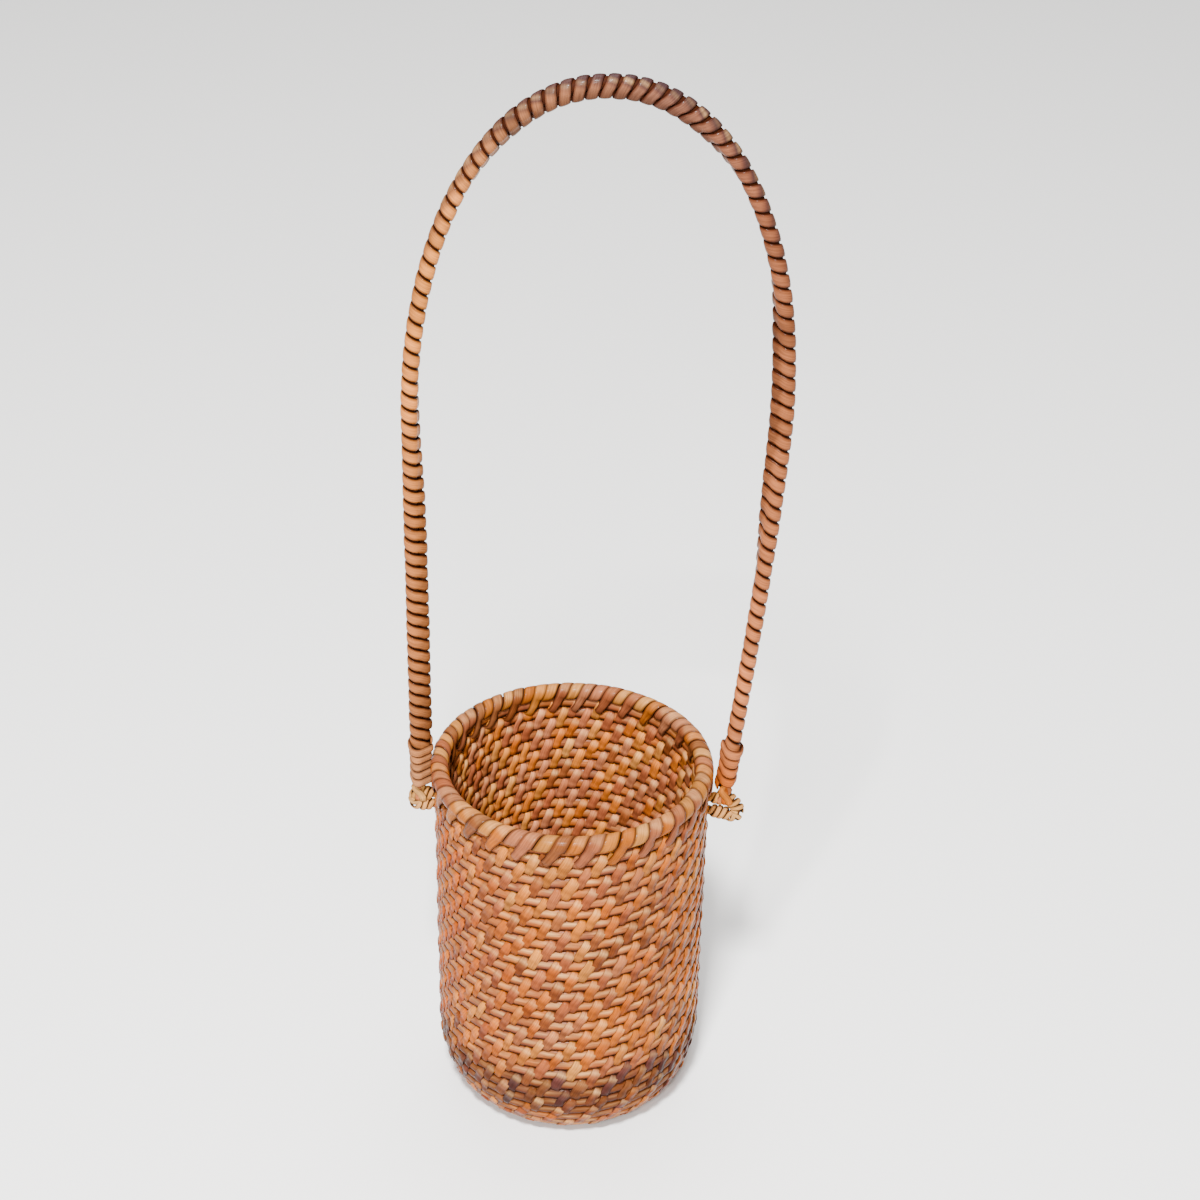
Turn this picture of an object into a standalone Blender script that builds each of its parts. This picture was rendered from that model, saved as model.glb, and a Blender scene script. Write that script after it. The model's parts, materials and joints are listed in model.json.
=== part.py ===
"""Coiled rattan basket for one wine bottle, with a tall bail handle that swings on two cane links.

Metres, +Z up. The origin is the middle of the base's underside, which stands on the table.
The handle spans the X axis. Every size below can be changed on its own.
"""
import math

import bmesh
import bpy
import numpy as np
from mathutils import Vector

# Basket, outside sizes
BASKET_HEIGHT = 0.169
RIM_OUTER_RADIUS = 0.060
FOOT_INSET = 0.0015
WALL_FOOT_RADIUS = RIM_OUTER_RADIUS - FOOT_INSET
CORNER_REACH = 0.018
CORNER_HEIGHT = 0.033

# The coiled strand, with its stitches drawn over it
ROW_PITCH = 0.0052
WALL_THICKNESS = 0.0050
GROOVE_DEPTH = 0.0019
SHELL_COLUMNS = 20

# Rim
RIM_CANE_RADIUS = 0.0024
RIM_PEEL = 0.0008

# Handle canes
HANDLE_REACH = 0.3212
LEG_STANDOFF = 0.0057
LEG_OFFSET = RIM_OUTER_RADIUS + LEG_STANDOFF
LEFT_BULGE = 0.0005
RIGHT_BULGE = 0.0160
SPRING_RISE = 0.1835
CROWN_LEAN = 0.003
MAIN_CANE_RADIUS = 0.0024
FILLER_CANE_RADIUS = 0.0013

# Handle peel
BINDING_PEEL = 0.0006
LASHING_PEEL = 0.0012
LASHING_PITCH = 0.0052

# Links in the wall and the hangers that turn on them
PIVOT_DROP = 0.0194
LINK_RADIUS = 0.0015
LINK_CORNER = 0.0025
LINK_DROP = 0.0076
HANGER_RADIUS = 0.0012
FOOT_RISE = 0.0074
TAIL_LENGTH = 0.018

# Clearances
SEAT_GAP = 0.0003
HOLE_CLEARANCE = 0.0004
STRIP_GAP = 0.0009
LEAST_LOOP_GAP = 0.0004

# Counts
RIM_LOOPS = 24
RIM_STATIONS = 48
RIM_LOOP_POINTS = 8
BINDING_LOOPS = 24
LASHING_LOOPS = 3
HOOP_STATIONS = 46
LINK_BEND_POINTS = 4
HANGER_BEND_POINTS = 9
OUTLINE_SAMPLES = 400
SHARP_DEGREES = 50
MM_PER_METRE = 1000

# Shapes given as shares
HEART_SHARE = 0.5
FLAT_SHARE = 0.4
ARCH_EXPONENT_SHARE = 2.13
LEG_CURVE_SHARE = 1.3
ARCH_STATION_SHARE = 0.62
FILLER_CHANGE_SHARES = (0.09, 0.33, 0.52, 0.63, 0.74, 0.88)

# Colours and surfaces, as red, green, blue, then roughness
CANE = ("rattan_cane", (0.200, 0.075, 0.035), 0.45)
PEEL_TAN = ("rattan_peel_tan", (0.620, 0.330, 0.120), 0.40)
PEEL_BROWN = ("rattan_peel_brown", (0.400, 0.170, 0.085), 0.40)
COIL = ("rattan_coil", (0.450, 0.190, 0.070), 0.45)


def remove_everything():
    """Empty the open scene of its objects."""
    for item in list(bpy.data.objects):
        bpy.data.objects.remove(item, do_unlink=True)


def make_material(finish):
    """Give a Principled material for a finish of (name, colour, roughness)."""
    name, colour, roughness = finish
    material = bpy.data.materials.get(name) or bpy.data.materials.new(name)
    material.use_nodes = True
    shader = material.node_tree.nodes["Principled BSDF"]
    shader.inputs["Base Color"].default_value = (*colour, 1)
    shader.inputs["Roughness"].default_value = roughness
    shader.inputs["Metallic"].default_value = 0
    return material


def place(item, finish, parent=None):
    """Link an object into the scene with its material, under the pivot where it swings."""
    item.data.materials.append(make_material(finish))
    bpy.context.collection.objects.link(item)
    if parent is not None:
        item.parent = parent
    return item


def mesh_object(name, points, faces, finish, parent=None):
    """Make one closed, smooth-shaded mesh from world points and faces."""
    shift = Vector(parent.location) if parent is not None else Vector((0, 0, 0))
    mesh = bpy.data.meshes.new(name)
    mesh.from_pydata([tuple(Vector(p) - shift) for p in points], [], faces)
    work = bmesh.new()
    work.from_mesh(mesh)
    bmesh.ops.recalc_face_normals(work, faces=work.faces)
    work.to_mesh(mesh)
    work.free()
    mesh.shade_smooth()
    mesh.set_sharp_from_angle(angle=math.radians(SHARP_DEGREES))
    return place(bpy.data.objects.new(name, mesh), finish, parent)


def cane_object(name, points, radius, finish, sides=8, closed=False, parent=None):
    """Make a round cane along world points, with filled ends unless it is closed."""
    shift = Vector(parent.location) if parent is not None else Vector((0, 0, 0))
    curve = bpy.data.curves.new(name, "CURVE")
    curve.dimensions = "3D"
    curve.bevel_depth = radius
    curve.bevel_resolution = sides // 2 - 2
    curve.use_fill_caps = not closed
    spline = curve.splines.new("POLY")
    spline.points.add(len(points) - 1)
    for knot, point in zip(spline.points, points):
        knot.co = (*(Vector(point) - shift), 1)
    spline.use_cyclic_u = closed
    spline.use_smooth = True
    return place(bpy.data.objects.new(name, curve), finish, parent)


def basket_sizes():
    """Work out the sizes that follow from the driving dimensions."""
    rim_wrap = (RIM_CANE_RADIUS + SEAT_GAP) / math.cos(math.pi / RIM_LOOP_POINTS) + RIM_PEEL
    sizes = {"rim_wrap": rim_wrap}
    sizes["rim_ring"] = RIM_OUTER_RADIUS - rim_wrap
    sizes["rim_height"] = BASKET_HEIGHT - rim_wrap
    sizes["wall_top"] = sizes["rim_height"] - rim_wrap - SEAT_GAP
    sizes["wall_top_radius"] = sizes["rim_ring"] + WALL_THICKNESS / 2
    sizes["flat_radius"] = WALL_FOOT_RADIUS - CORNER_REACH
    sizes["pivot_height"] = BASKET_HEIGHT - PIVOT_DROP
    sizes["lashing_width"] = LASHING_PITCH - STRIP_GAP
    sizes["lashing_length"] = LASHING_PITCH * LASHING_LOOPS + sizes["lashing_width"]
    return sizes


SIZES = basket_sizes()


def outline_table():
    """Sample the basket's outer outline from the middle of the base to the wall's top."""
    turn = np.linspace(0, math.pi / 2, OUTLINE_SAMPLES)
    corner_r = SIZES["flat_radius"] + CORNER_REACH * np.sin(turn)
    corner_z = CORNER_HEIGHT - CORNER_HEIGHT * np.cos(turn)
    radius = np.concatenate([[0], corner_r, [SIZES["wall_top_radius"]]])
    height = np.concatenate([[0], corner_z, [SIZES["wall_top"]]])
    steps = np.hypot(np.diff(radius), np.diff(height))
    return np.concatenate([[0], np.cumsum(steps)]), radius, height


OUTLINE = outline_table()
OUTLINE_LENGTH = OUTLINE[0][-1]


def outline_at(distance, inward):
    """Give radius and height at a distance along the outline, moved inward by a depth."""
    arc, radius, height = OUTLINE
    near = OUTLINE_LENGTH / OUTLINE_SAMPLES / 2
    ahead = np.clip(distance + near, 0, OUTLINE_LENGTH)
    behind = np.clip(distance - near, 0, OUTLINE_LENGTH)
    run_r = np.interp(ahead, arc, radius) - np.interp(behind, arc, radius)
    run_z = np.interp(ahead, arc, height) - np.interp(behind, arc, height)
    run = np.hypot(run_r, run_z)
    r = np.interp(distance, arc, radius) - inward * run_z / run
    z = np.interp(distance, arc, height) + inward * run_r / run
    return r, z


def row_counts():
    """Count the base's turns and the wall's rows, and give the pitch that fits them exactly."""
    base_turns = int(SIZES["flat_radius"] / ROW_PITCH - heart_turns())
    wall_rows = round(OUTLINE_LENGTH / ROW_PITCH - heart_turns() - base_turns)
    pitch = (OUTLINE_LENGTH - SEAT_GAP) / (heart_turns() + base_turns + wall_rows)
    return base_turns, wall_rows, pitch


def heart_turns():
    """Give the turns from the middle of the base to its first groove."""
    return HEART_SHARE + (1 - FLAT_SHARE) / 2


class CoilSurface:
    """One face of the coiled shell: grooved lines that climb one row for each turn round."""

    def __init__(self, start, pitch, shares, depths, line_count, inner, seam_turn):
        self.start, self.pitch = start, pitch
        self.shares, self.depths = shares, depths
        self.line_count = line_count
        self.inner, self.seam_turn = inner, seam_turn
        self.points = []
        self.index = {}
        self.faces = []
        per_turn = len(shares)
        for line in range(line_count + per_turn):
            columns = SHELL_COLUMNS if line < line_count else 1
            for column in range(columns):
                self.add(line, column)

    def add(self, line, column):
        """Add the point of a line at a column."""
        turn, which = divmod(line, len(self.shares))
        distance = self.start + self.pitch * (turn + self.shares[which] + column / SHELL_COLUMNS)
        self.index[line, column] = self.append(distance, self.depths[which], column)

    def append(self, distance, depth, column):
        """Add one point at a distance along the outline and give its number."""
        inward = WALL_THICKNESS - depth if self.inner else depth
        radius, height = outline_at(distance, inward)
        angle = self.seam_turn + 2 * math.pi * column / SHELL_COLUMNS
        self.points.append((radius * math.cos(angle), radius * math.sin(angle), height))
        return len(self.points) - 1

    def at(self, line, column):
        """Give a point's number, passing over the seam onto the next row."""
        if column == SHELL_COLUMNS:
            return self.index[line + len(self.shares), 0]
        return self.index[line, column]

    def skin(self):
        """Join the lines with faces."""
        for line in range(self.line_count - 1):
            for column in range(SHELL_COLUMNS):
                self.faces.append((self.at(line, column), self.at(line, column + 1),
                                   self.at(line + 1, column + 1), self.at(line + 1, column)))

    def edge(self, line):
        """List the numbers round the open edge at a line, with the step at the seam."""
        round_line = [self.at(line, column) for column in range(SHELL_COLUMNS)]
        step = [self.index[line + k, 0] for k in range(len(self.shares), 0, -1)]
        return round_line + step

    def close_heart(self):
        """Fill the middle of the base with a fan that sees the whole spiral edge."""
        radius = self.pitch * HEART_SHARE / 2
        height = outline_at(self.start, WALL_THICKNESS if self.inner else 0)[1]
        self.points.append((0, -radius, height))
        hub = len(self.points) - 1
        ring = self.edge(0)
        for first, second in zip(ring, ring[1:] + ring[:1]):
            self.faces.append((hub, first, second))

    def level_top(self):
        """Fill the wedge between the last line and the level top, and give the top ring."""
        last = self.line_count - 1
        depth = self.depths[0]
        ring = [self.index[last + len(self.shares), 0]]
        for column in range(1, SHELL_COLUMNS):
            ring.append(self.append(OUTLINE_LENGTH, depth, column))
        step = [self.index[last + k, 0] for k in range(len(self.shares), 0, -1)]
        self.faces.append((self.at(last, 0), self.at(last, 1), ring[1], *step))
        for column in range(1, SHELL_COLUMNS - 1):
            self.faces.append((self.at(last, column), self.at(last, column + 1),
                               ring[column + 1], ring[column]))
        self.faces.append((self.at(last, SHELL_COLUMNS - 1), ring[0], ring[-1]))
        return ring


def bridge(outer_ring, inner_ring, shift):
    """Join two rings of point numbers with faces, the second ring's numbers moved up."""
    count = len(outer_ring)
    return [(outer_ring[k], outer_ring[(k + 1) % count],
             inner_ring[(k + 1) % count] + shift, inner_ring[k] + shift) for k in range(count)]


def combine(outer, inner, rings):
    """Put an outer and an inner face together into one closed shell."""
    shift = len(outer.points)
    faces = list(outer.faces) + [tuple(k + shift for k in face) for face in inner.faces]
    for outer_ring, inner_ring in rings:
        faces += bridge(outer_ring, inner_ring, shift)
    return outer.points + inner.points, faces


def build_base(base_turns, pitch):
    """Build the base: a flat spiral whose underside is flattened where it stands."""
    groove = (1 - FLAT_SHARE) / 2
    shares = (0, groove, 2 * groove)
    depths = (0, GROOVE_DEPTH, 0)
    line_count = len(shares) * base_turns + 2
    start = pitch * HEART_SHARE
    surfaces = [CoilSurface(start, pitch, shares, depths, line_count, inner, 0)
                for inner in (False, True)]
    for surface in surfaces:
        surface.skin()
        surface.close_heart()
    edges = [surface.edge(line_count - 1) for surface in surfaces]
    points, faces = combine(*surfaces, [edges])
    return mesh_object("base_coil", points, faces, COIL)


def build_wall(base_turns, wall_rows, pitch):
    """Build the wall: one strand that climbs from the base to just under the rim."""
    start = pitch * (heart_turns() + base_turns) + SEAT_GAP
    slope = (1 - FLAT_SHARE) / 2
    shares = (0, slope, 1 - slope)
    depths = (GROOVE_DEPTH, 0, 0)
    line_count = len(shares) * (wall_rows - 1) + 1
    seam_turn = SEAT_GAP / SIZES["flat_radius"] * 2
    surfaces = [CoilSurface(start, pitch, shares, depths, line_count, inner, seam_turn)
                for inner in (False, True)]
    rings = []
    for surface in surfaces:
        surface.skin()
    rings.append([surface.edge(0) for surface in surfaces])
    rings.append([surface.level_top() for surface in surfaces])
    points, faces = combine(*surfaces, rings)
    return mesh_object("wall_coil", points, faces, COIL)


def rim_stations():
    """Give the centre line of the rim cane as a closed run of points."""
    angles = [2 * math.pi * k / RIM_STATIONS for k in range(RIM_STATIONS)]
    ring = SIZES["rim_ring"]
    return [(ring * math.cos(a), ring * math.sin(a), SIZES["rim_height"]) for a in angles]


class Route:
    """A run of points with a direction to one side at each, read by distance along it."""

    def __init__(self, points, sides):
        self.points = np.array(points)
        self.sides = np.array(sides)
        steps = np.linalg.norm(np.diff(self.points, axis=0), axis=1)
        self.arc = np.concatenate([[0], np.cumsum(steps)])
        self.length = self.arc[-1]

    def read(self, table, distance):
        """Read a table of vectors at a distance."""
        return np.array([np.interp(distance, self.arc, table[:, k]) for k in range(3)])

    def frame(self, distance):
        """Give the centre, the side direction and the direction square to both."""
        step = self.length / len(self.points) / 2
        ahead = self.read(self.points, min(distance + step, self.length))
        behind = self.read(self.points, max(distance - step, 0))
        along = (ahead - behind) / np.linalg.norm(ahead - behind)
        side = self.read(self.sides, distance)
        side = side - along * (side @ along)
        side = side / np.linalg.norm(side)
        return self.read(self.points, distance), side, np.cross(along, side)


class Section:
    """What a strip goes round: for each of its points, a centre offset, a radius and an angle."""

    def __init__(self, rows):
        self.rows = rows

    @staticmethod
    def single(radius, count):
        """One cane."""
        return Section([(0, 0, radius, 2 * math.pi * k / count, math.pi / count)
                        for k in range(count)])

    @staticmethod
    def pair(main_radius, side_radius, distance, main_points, side_points):
        """A main cane with a thinner one at a distance to its side."""
        tangent = math.acos((main_radius - side_radius) / distance)
        rows = []
        half = (math.pi - tangent) / (main_points - 1)
        for k in range(main_points):
            angle = tangent + 2 * half * k
            rows.append((0, 0, main_radius, angle, half))
        half = tangent / (side_points - 1)
        for k in range(side_points):
            angle = -tangent + 2 * half * k
            rows.append((distance, 0, side_radius, angle, half))
        return Section(rows)

    @staticmethod
    def triple(main_radius, side_radius, distance, side_points):
        """A main cane between two thinner ones, at a distance before and behind it."""
        tangent = math.acos((main_radius - side_radius) / distance)
        half = tangent / (side_points - 1)
        rows = []
        for sign in (1, -1):
            lead = sign * math.pi / 2
            rows.append((0, 0, main_radius, lead - math.pi / 2, (math.pi / 2 - tangent) / 2))
            for k in range(side_points):
                angle = lead - tangent + 2 * half * k
                rows.append((0, sign * distance, side_radius, angle, half))
        return Section(rows)

    def spot(self, number, lift):
        """Give the two offsets of a point at a height above the canes."""
        across, over, radius, angle, half = self.rows[number % len(self.rows)]
        reach = (radius + SEAT_GAP) / math.cos(half) + lift
        return across + reach * math.cos(angle), over + reach * math.sin(angle)


def winding(name, route, section, loops, start, pitch, width, peel, finish, parent=None,
            first_step=0, left_out=0, turn_back=False):
    """Wind one unbroken strip of peel round a route, and print its least gap to itself.

    Where the route bends, the strip is lifted by as much as the route bows under its width.
    The strip begins at its first step and leaves out some of the last loop's steps.
    """
    per_loop = len(section.rows)
    steps = loops * per_loop - left_out
    points = []
    edges = [[], []]
    for step in range(first_step, first_step + steps + 1):
        number = -step if turn_back else step
        middle = start + pitch * step / per_loop
        frames = [route.frame(middle + shift) for shift in (-width / 2, width / 2)]
        bow = np.linalg.norm((frames[0][0] + frames[1][0]) / 2 - route.frame(middle)[0])
        corners = []
        for centre, side, over in frames:
            for lift in (bow, bow + peel):
                first, second = section.spot(number, lift)
                corners.append(centre + side * first + over * second)
        edges[0].append(corners[0])
        edges[1].append(corners[2])
        points += [corners[0], corners[1], corners[3], corners[2]]
    faces = [(0, 1, 2, 3), tuple(4 * steps + k for k in (3, 2, 1, 0))]
    for step in range(steps):
        for k in range(4):
            here, there = 4 * step + k, 4 * step + (k + 1) % 4
            faces.append((here, here + 4, there + 4, there))
    report_gap(name, np.array(edges[0]), np.array(edges[1]), per_loop)
    return mesh_object(name, points, faces, finish, parent)


def report_gap(name, low_edge, high_edge, per_loop):
    """Measure, on points, how near one loop's edge comes to the next loop's edge."""
    reach = per_loop // 2
    gaps = []
    for number, point in enumerate(high_edge):
        later = low_edge[number + reach:]
        if len(later):
            gaps.append(np.linalg.norm(later - point, axis=1).min())
    least = min(gaps)
    state = "clear" if least > LEAST_LOOP_GAP else "too close"
    print(f"{name}: least gap between loops {least * MM_PER_METRE:.2f} mm, {state}")


def build_rim():
    """Build the rim cane and the two strips that wind over it turn about."""
    stations = rim_stations()
    cane_object("rim_cane", stations, RIM_CANE_RADIUS, CANE, sides=6, closed=True)
    closed = stations + stations[:2]
    outward = [(x, y, 0) for x, y, _ in closed]
    route = Route(closed, outward)
    around = Route(stations + stations[:1], outward[:-1]).length
    pitch = around / RIM_LOOPS
    width = pitch / 2 - STRIP_GAP
    section = Section.single(RIM_CANE_RADIUS, RIM_LOOP_POINTS)
    turns = WrappedRoute(route, around)
    strips = (("rim_sewing_strip", PEEL_BROWN, 0), ("rim_wrapping_strip", PEEL_TAN, pitch / 2))
    for name, finish, lead in strips:
        winding(name, turns, section, RIM_LOOPS, lead, pitch, width, RIM_PEEL, finish,
                left_out=2, turn_back=True)


class WrappedRoute:
    """A closed route that is read past its end as if from its start."""

    def __init__(self, route, around):
        self.route, self.around = route, around

    def frame(self, distance):
        """Give the frame at a distance, taken round the ring."""
        return self.route.frame(distance % self.around)


def hoop_points():
    """Give the main cane's centre line, from the left foot over the crown to the right foot."""
    pivot = SIZES["pivot_height"]
    foot = pivot + FOOT_RISE
    spring = pivot + SPRING_RISE
    left = LEG_OFFSET + LEFT_BULGE
    right = LEG_OFFSET + RIGHT_BULGE
    crown = pivot + HANDLE_REACH
    middle = (right - left) / 2
    half_span = (right + left) / 2
    arch_count = round(HOOP_STATIONS * ARCH_STATION_SHARE)
    leg_count = (HOOP_STATIONS - arch_count) // 2
    rise = np.linspace(0, 1, leg_count + 1)[:-1]
    curve = 1 - (1 - rise) ** LEG_CURVE_SHARE
    leg_z = foot + (spring - foot) * rise
    turn = np.linspace(math.pi, 0, arch_count + 1)
    power = 2 / ARCH_EXPONENT_SHARE
    swell = np.abs(np.sin(turn)) ** power
    arch_x = middle + half_span * np.sign(np.cos(turn)) * np.abs(np.cos(turn)) ** power
    arch_x = arch_x + CROWN_LEAN * swell
    arch_z = spring + (crown - spring) * swell
    x = np.concatenate([-LEG_OFFSET - LEFT_BULGE * curve, arch_x,
                        (LEG_OFFSET + RIGHT_BULGE * curve)[::-1]])
    z = np.concatenate([leg_z, arch_z, leg_z[::-1]])
    return np.stack([x, np.zeros(len(x)), z], axis=1)


def hoop_route(points):
    """Give the hoop as a route whose side direction points to the filler cane.

    The filler starts inside the hoop at the left foot. At each share of the way that is listed
    it has come round to the other of its two places, inside the hoop or behind it.
    """
    along = np.gradient(points, axis=0)
    along = along / np.linalg.norm(along, axis=1)[:, None]
    behind = np.array([0.0, 1.0, 0.0])
    inside = np.cross(behind, along)
    inside = inside / np.linalg.norm(inside, axis=1)[:, None]
    plain = Route(points, inside)
    changes = np.interp(plain.arc / plain.length, FILLER_CHANGE_SHARES,
                        range(len(FILLER_CHANGE_SHARES)))
    turn = math.pi / 2 * (1 - np.cos(math.pi * changes)) / 2
    sides = np.cos(turn)[:, None] * inside + np.sin(turn)[:, None] * behind
    return plain, Route(points, sides)


def build_handle(pivot):
    """Build the two canes of the handle and the strips of peel wound over them."""
    points = hoop_points()
    plain, route = hoop_route(points)
    cane_object("handle_main_cane", points, MAIN_CANE_RADIUS, CANE, sides=6, parent=pivot)
    apart = MAIN_CANE_RADIUS + FILLER_CANE_RADIUS + SEAT_GAP
    bound_from = SIZES["lashing_length"] + STRIP_GAP
    distances = [bound_from] + [d for d in route.arc if bound_from < d < route.length - bound_from]
    distances.append(route.length - bound_from)
    filler = []
    for distance in distances:
        centre, side, _ = route.frame(distance)
        filler.append(centre + side * apart)
    cane_object("handle_filler_cane", filler, FILLER_CANE_RADIUS, CANE, sides=6, parent=pivot)
    section = Section.pair(MAIN_CANE_RADIUS, FILLER_CANE_RADIUS, apart, 6, 4)
    per_loop = len(section.rows)
    bound = route.length - 2 * bound_from
    pitch = (bound + STRIP_GAP) / (2 * BINDING_LOOPS + 1 + 1 / per_loop)
    width = pitch - STRIP_GAP
    start = bound_from + width / 2
    for name, first_step in (("left_handle_binding", 0),
                             ("right_handle_binding", BINDING_LOOPS * per_loop + 1)):
        winding(name, route, section, BINDING_LOOPS, start, pitch, width, BINDING_PEEL,
                PEEL_TAN, parent=pivot, first_step=first_step, turn_back=True)
    return plain


def hanger_points(plain, side):
    """Give a hanger's centre line: up one face of the leg, round the link and up the other."""
    turn_radius = LINK_RADIUS + SEAT_GAP + HANGER_RADIUS
    tail_offset = MAIN_CANE_RADIUS + SEAT_GAP + HANGER_RADIUS
    pivot = SIZES["pivot_height"]
    half = []
    for distance in (TAIL_LENGTH, TAIL_LENGTH / 2, 0):
        at = distance if side < 0 else plain.length - distance
        centre = plain.frame(at)[0]
        half.append((centre[0], tail_offset, centre[2]))
    front = [(x, -y, z) for x, y, z in half[::-1]]
    bend = []
    for k in range(HANGER_BEND_POINTS):
        angle = -math.pi * k / (HANGER_BEND_POINTS - 1)
        bend.append((side * LEG_OFFSET, turn_radius * math.cos(angle),
                     pivot + turn_radius * math.sin(angle)))
    return half + bend + front


def build_feet(plain, pivot):
    """Build the hanger loop at the foot of each leg and the lashing that holds its tails."""
    tail_offset = MAIN_CANE_RADIUS + SEAT_GAP + HANGER_RADIUS
    section = Section.triple(MAIN_CANE_RADIUS, HANGER_RADIUS, tail_offset, 4)
    width = SIZES["lashing_width"]
    starts = (("left", -1, width / 2),
              ("right", 1, plain.length - SIZES["lashing_length"] + width / 2))
    for word, side, start in starts:
        cane_object(f"{word}_hanger_loop", hanger_points(plain, side), HANGER_RADIUS, CANE,
                    sides=6, parent=pivot)
        winding(f"{word}_end_lashing", plain, section, LASHING_LOOPS, start, LASHING_PITCH, width,
                LASHING_PEEL, PEEL_TAN, parent=pivot, turn_back=True)


def link_points(side):
    """Give a link's centre line: a closed loop round one row of the wall, deeper outside it.

    The upper run is level. The lower run lies one row below it inside the wall, and drops
    outward to the full depth, so that the hanger has room between the two.
    """
    inner_wall = outline_at(link_distance(), WALL_THICKNESS)[0]
    inside = inner_wall - SEAT_GAP - LINK_RADIUS
    outside = LEG_OFFSET + HANGER_RADIUS + LINK_CORNER
    corners = ((outside, 1, 0), (inside, 1, 1), (inside, -1, 2), (outside, -1, 3))
    points = []
    for corner_x, up, quarter in corners:
        inward = -1 if quarter in (0, 3) else 1
        for k in range(LINK_BEND_POINTS):
            angle = math.pi / 2 * (quarter + k / (LINK_BEND_POINTS - 1))
            x = corner_x + LINK_CORNER * (inward + math.cos(angle))
            below = (1 - up) * LINK_DROP / 2 + LINK_CORNER * (up - math.sin(angle))
            share = np.interp(x, (inside, outside), (ROW_PITCH / LINK_DROP, 1))
            points.append((side * x, 0, SIZES["pivot_height"] - below * share))
    return points


def link_distance():
    """Give the distance along the outline at which the links pass through the wall."""
    below = SIZES["wall_top"] - SIZES["pivot_height"] + ROW_PITCH
    return OUTLINE_LENGTH - below


def build_links(wall):
    """Build the two links and cut their holes through the wall."""
    for word, side in (("left", -1), ("right", 1)):
        points = link_points(side)
        cane_object(f"{word}_link", points, LINK_RADIUS, CANE, closed=True)
        cutter = cane_object(f"{word}_link_hole", points, LINK_RADIUS + HOLE_CLEARANCE, CANE,
                             closed=True)
        cutter.hide_render = True
        cutter.display_type = "WIRE"
        bpy.context.view_layer.update()
        solid = bpy.data.objects.new(f"{word}_link_hole_solid", bpy.data.meshes.new_from_object(
            cutter.evaluated_get(bpy.context.evaluated_depsgraph_get())))
        bpy.context.collection.objects.link(solid)
        solid.hide_render = True
        solid.display_type = "WIRE"
        bpy.data.objects.remove(cutter, do_unlink=True)
        hole = wall.modifiers.new(f"{word}_hole", "BOOLEAN")
        hole.operation = "DIFFERENCE"
        hole.solver = "EXACT"
        hole.object = solid


def main():
    """Build the whole basket."""
    remove_everything()
    base_turns, wall_rows, pitch = row_counts()
    build_base(base_turns, pitch)
    wall = build_wall(base_turns, wall_rows, pitch)
    build_rim()
    build_links(wall)
    pivot = bpy.data.objects.new("handle_pivot", None)
    pivot.location = (0, 0, SIZES["pivot_height"])
    bpy.context.collection.objects.link(pivot)
    plain = build_handle(pivot)
    build_feet(plain, pivot)


main()
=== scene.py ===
"""Looks of a coiled rattan basket for one wine bottle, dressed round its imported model.

The basket is sewn from three stuffs: round core cane, laid in one long coil, flat peel that is
slit from the skin of the cane, and the same peel in a paler batch for the knots and lashings.
Every new surface is a section carried along a path, worked out in metres in the model's frame.
"""
import json
import logging
import math
from dataclasses import dataclass, field
from enum import Enum

import bpy
import numpy as np
from mathutils import Matrix, Quaternion, Vector


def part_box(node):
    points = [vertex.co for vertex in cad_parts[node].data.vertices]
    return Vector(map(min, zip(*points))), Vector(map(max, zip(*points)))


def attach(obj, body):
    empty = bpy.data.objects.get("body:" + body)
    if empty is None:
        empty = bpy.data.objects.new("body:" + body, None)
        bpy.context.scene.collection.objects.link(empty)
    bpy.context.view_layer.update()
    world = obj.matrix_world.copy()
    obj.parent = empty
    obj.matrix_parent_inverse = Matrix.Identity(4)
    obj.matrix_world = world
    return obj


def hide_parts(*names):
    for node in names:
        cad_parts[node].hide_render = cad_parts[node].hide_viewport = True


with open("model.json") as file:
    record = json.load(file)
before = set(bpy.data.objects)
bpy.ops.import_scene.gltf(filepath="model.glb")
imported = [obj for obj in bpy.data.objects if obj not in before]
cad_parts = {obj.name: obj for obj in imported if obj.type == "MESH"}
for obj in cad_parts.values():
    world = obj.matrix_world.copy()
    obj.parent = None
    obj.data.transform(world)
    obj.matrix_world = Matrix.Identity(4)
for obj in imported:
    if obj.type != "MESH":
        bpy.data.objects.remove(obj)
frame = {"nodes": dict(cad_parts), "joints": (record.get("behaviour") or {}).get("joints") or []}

LOG = logging.getLogger("basket")
MM = 0.001
TURN = 2 * math.pi
SEED = 41

# Angles round the basket. Its stitches lie closest together at the back, a little to the left.
FRONT = -math.pi / 2
LEFT = math.pi
CROWDED_SIDE = math.radians(120)

# Stains of peel and cane: each family is a tone with a darker and a paler one.
ORANGE = ("#AC5814", "#9E4A0C", "#B86820")
TAN = ("#B46C2A", "#A45C1C", "#C07C36")
PINK = ("#96502C", "#884220", "#A46038")
BROWN = ("#84451E", "#763A16", "#925228")
PLUM = ("#64362F", "#562C25", "#743F35")
STRAW = ("#B07E46", "#A27038", "#BC8C56")

# Chance makes each stain darker or paler by a factor between these two.
TONES = (0.88, 1.12)

# Bare cream rattan where a crest is rubbed, also laid on as painted highlight; dirt and painted
# shade in the gaps; and painted shade on the crown's side that faces up and a little to the back.
RUBBED_HIGHLIGHT = "#E0AC70"
GAP_DIRT_AND_SHADE = "#260B04"
CROWN_SHADE = "#2A1F23"
CROWN_SHADE_SIDE = np.array([0.0, 0.17, 0.985])

# The length of a blotch in the cane's colour, and how much its skin bends and throws back light.
BLOTCH = 12 * MM
RATTAN_IOR = 1.5
RATTAN_SHEEN = 0.03
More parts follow.
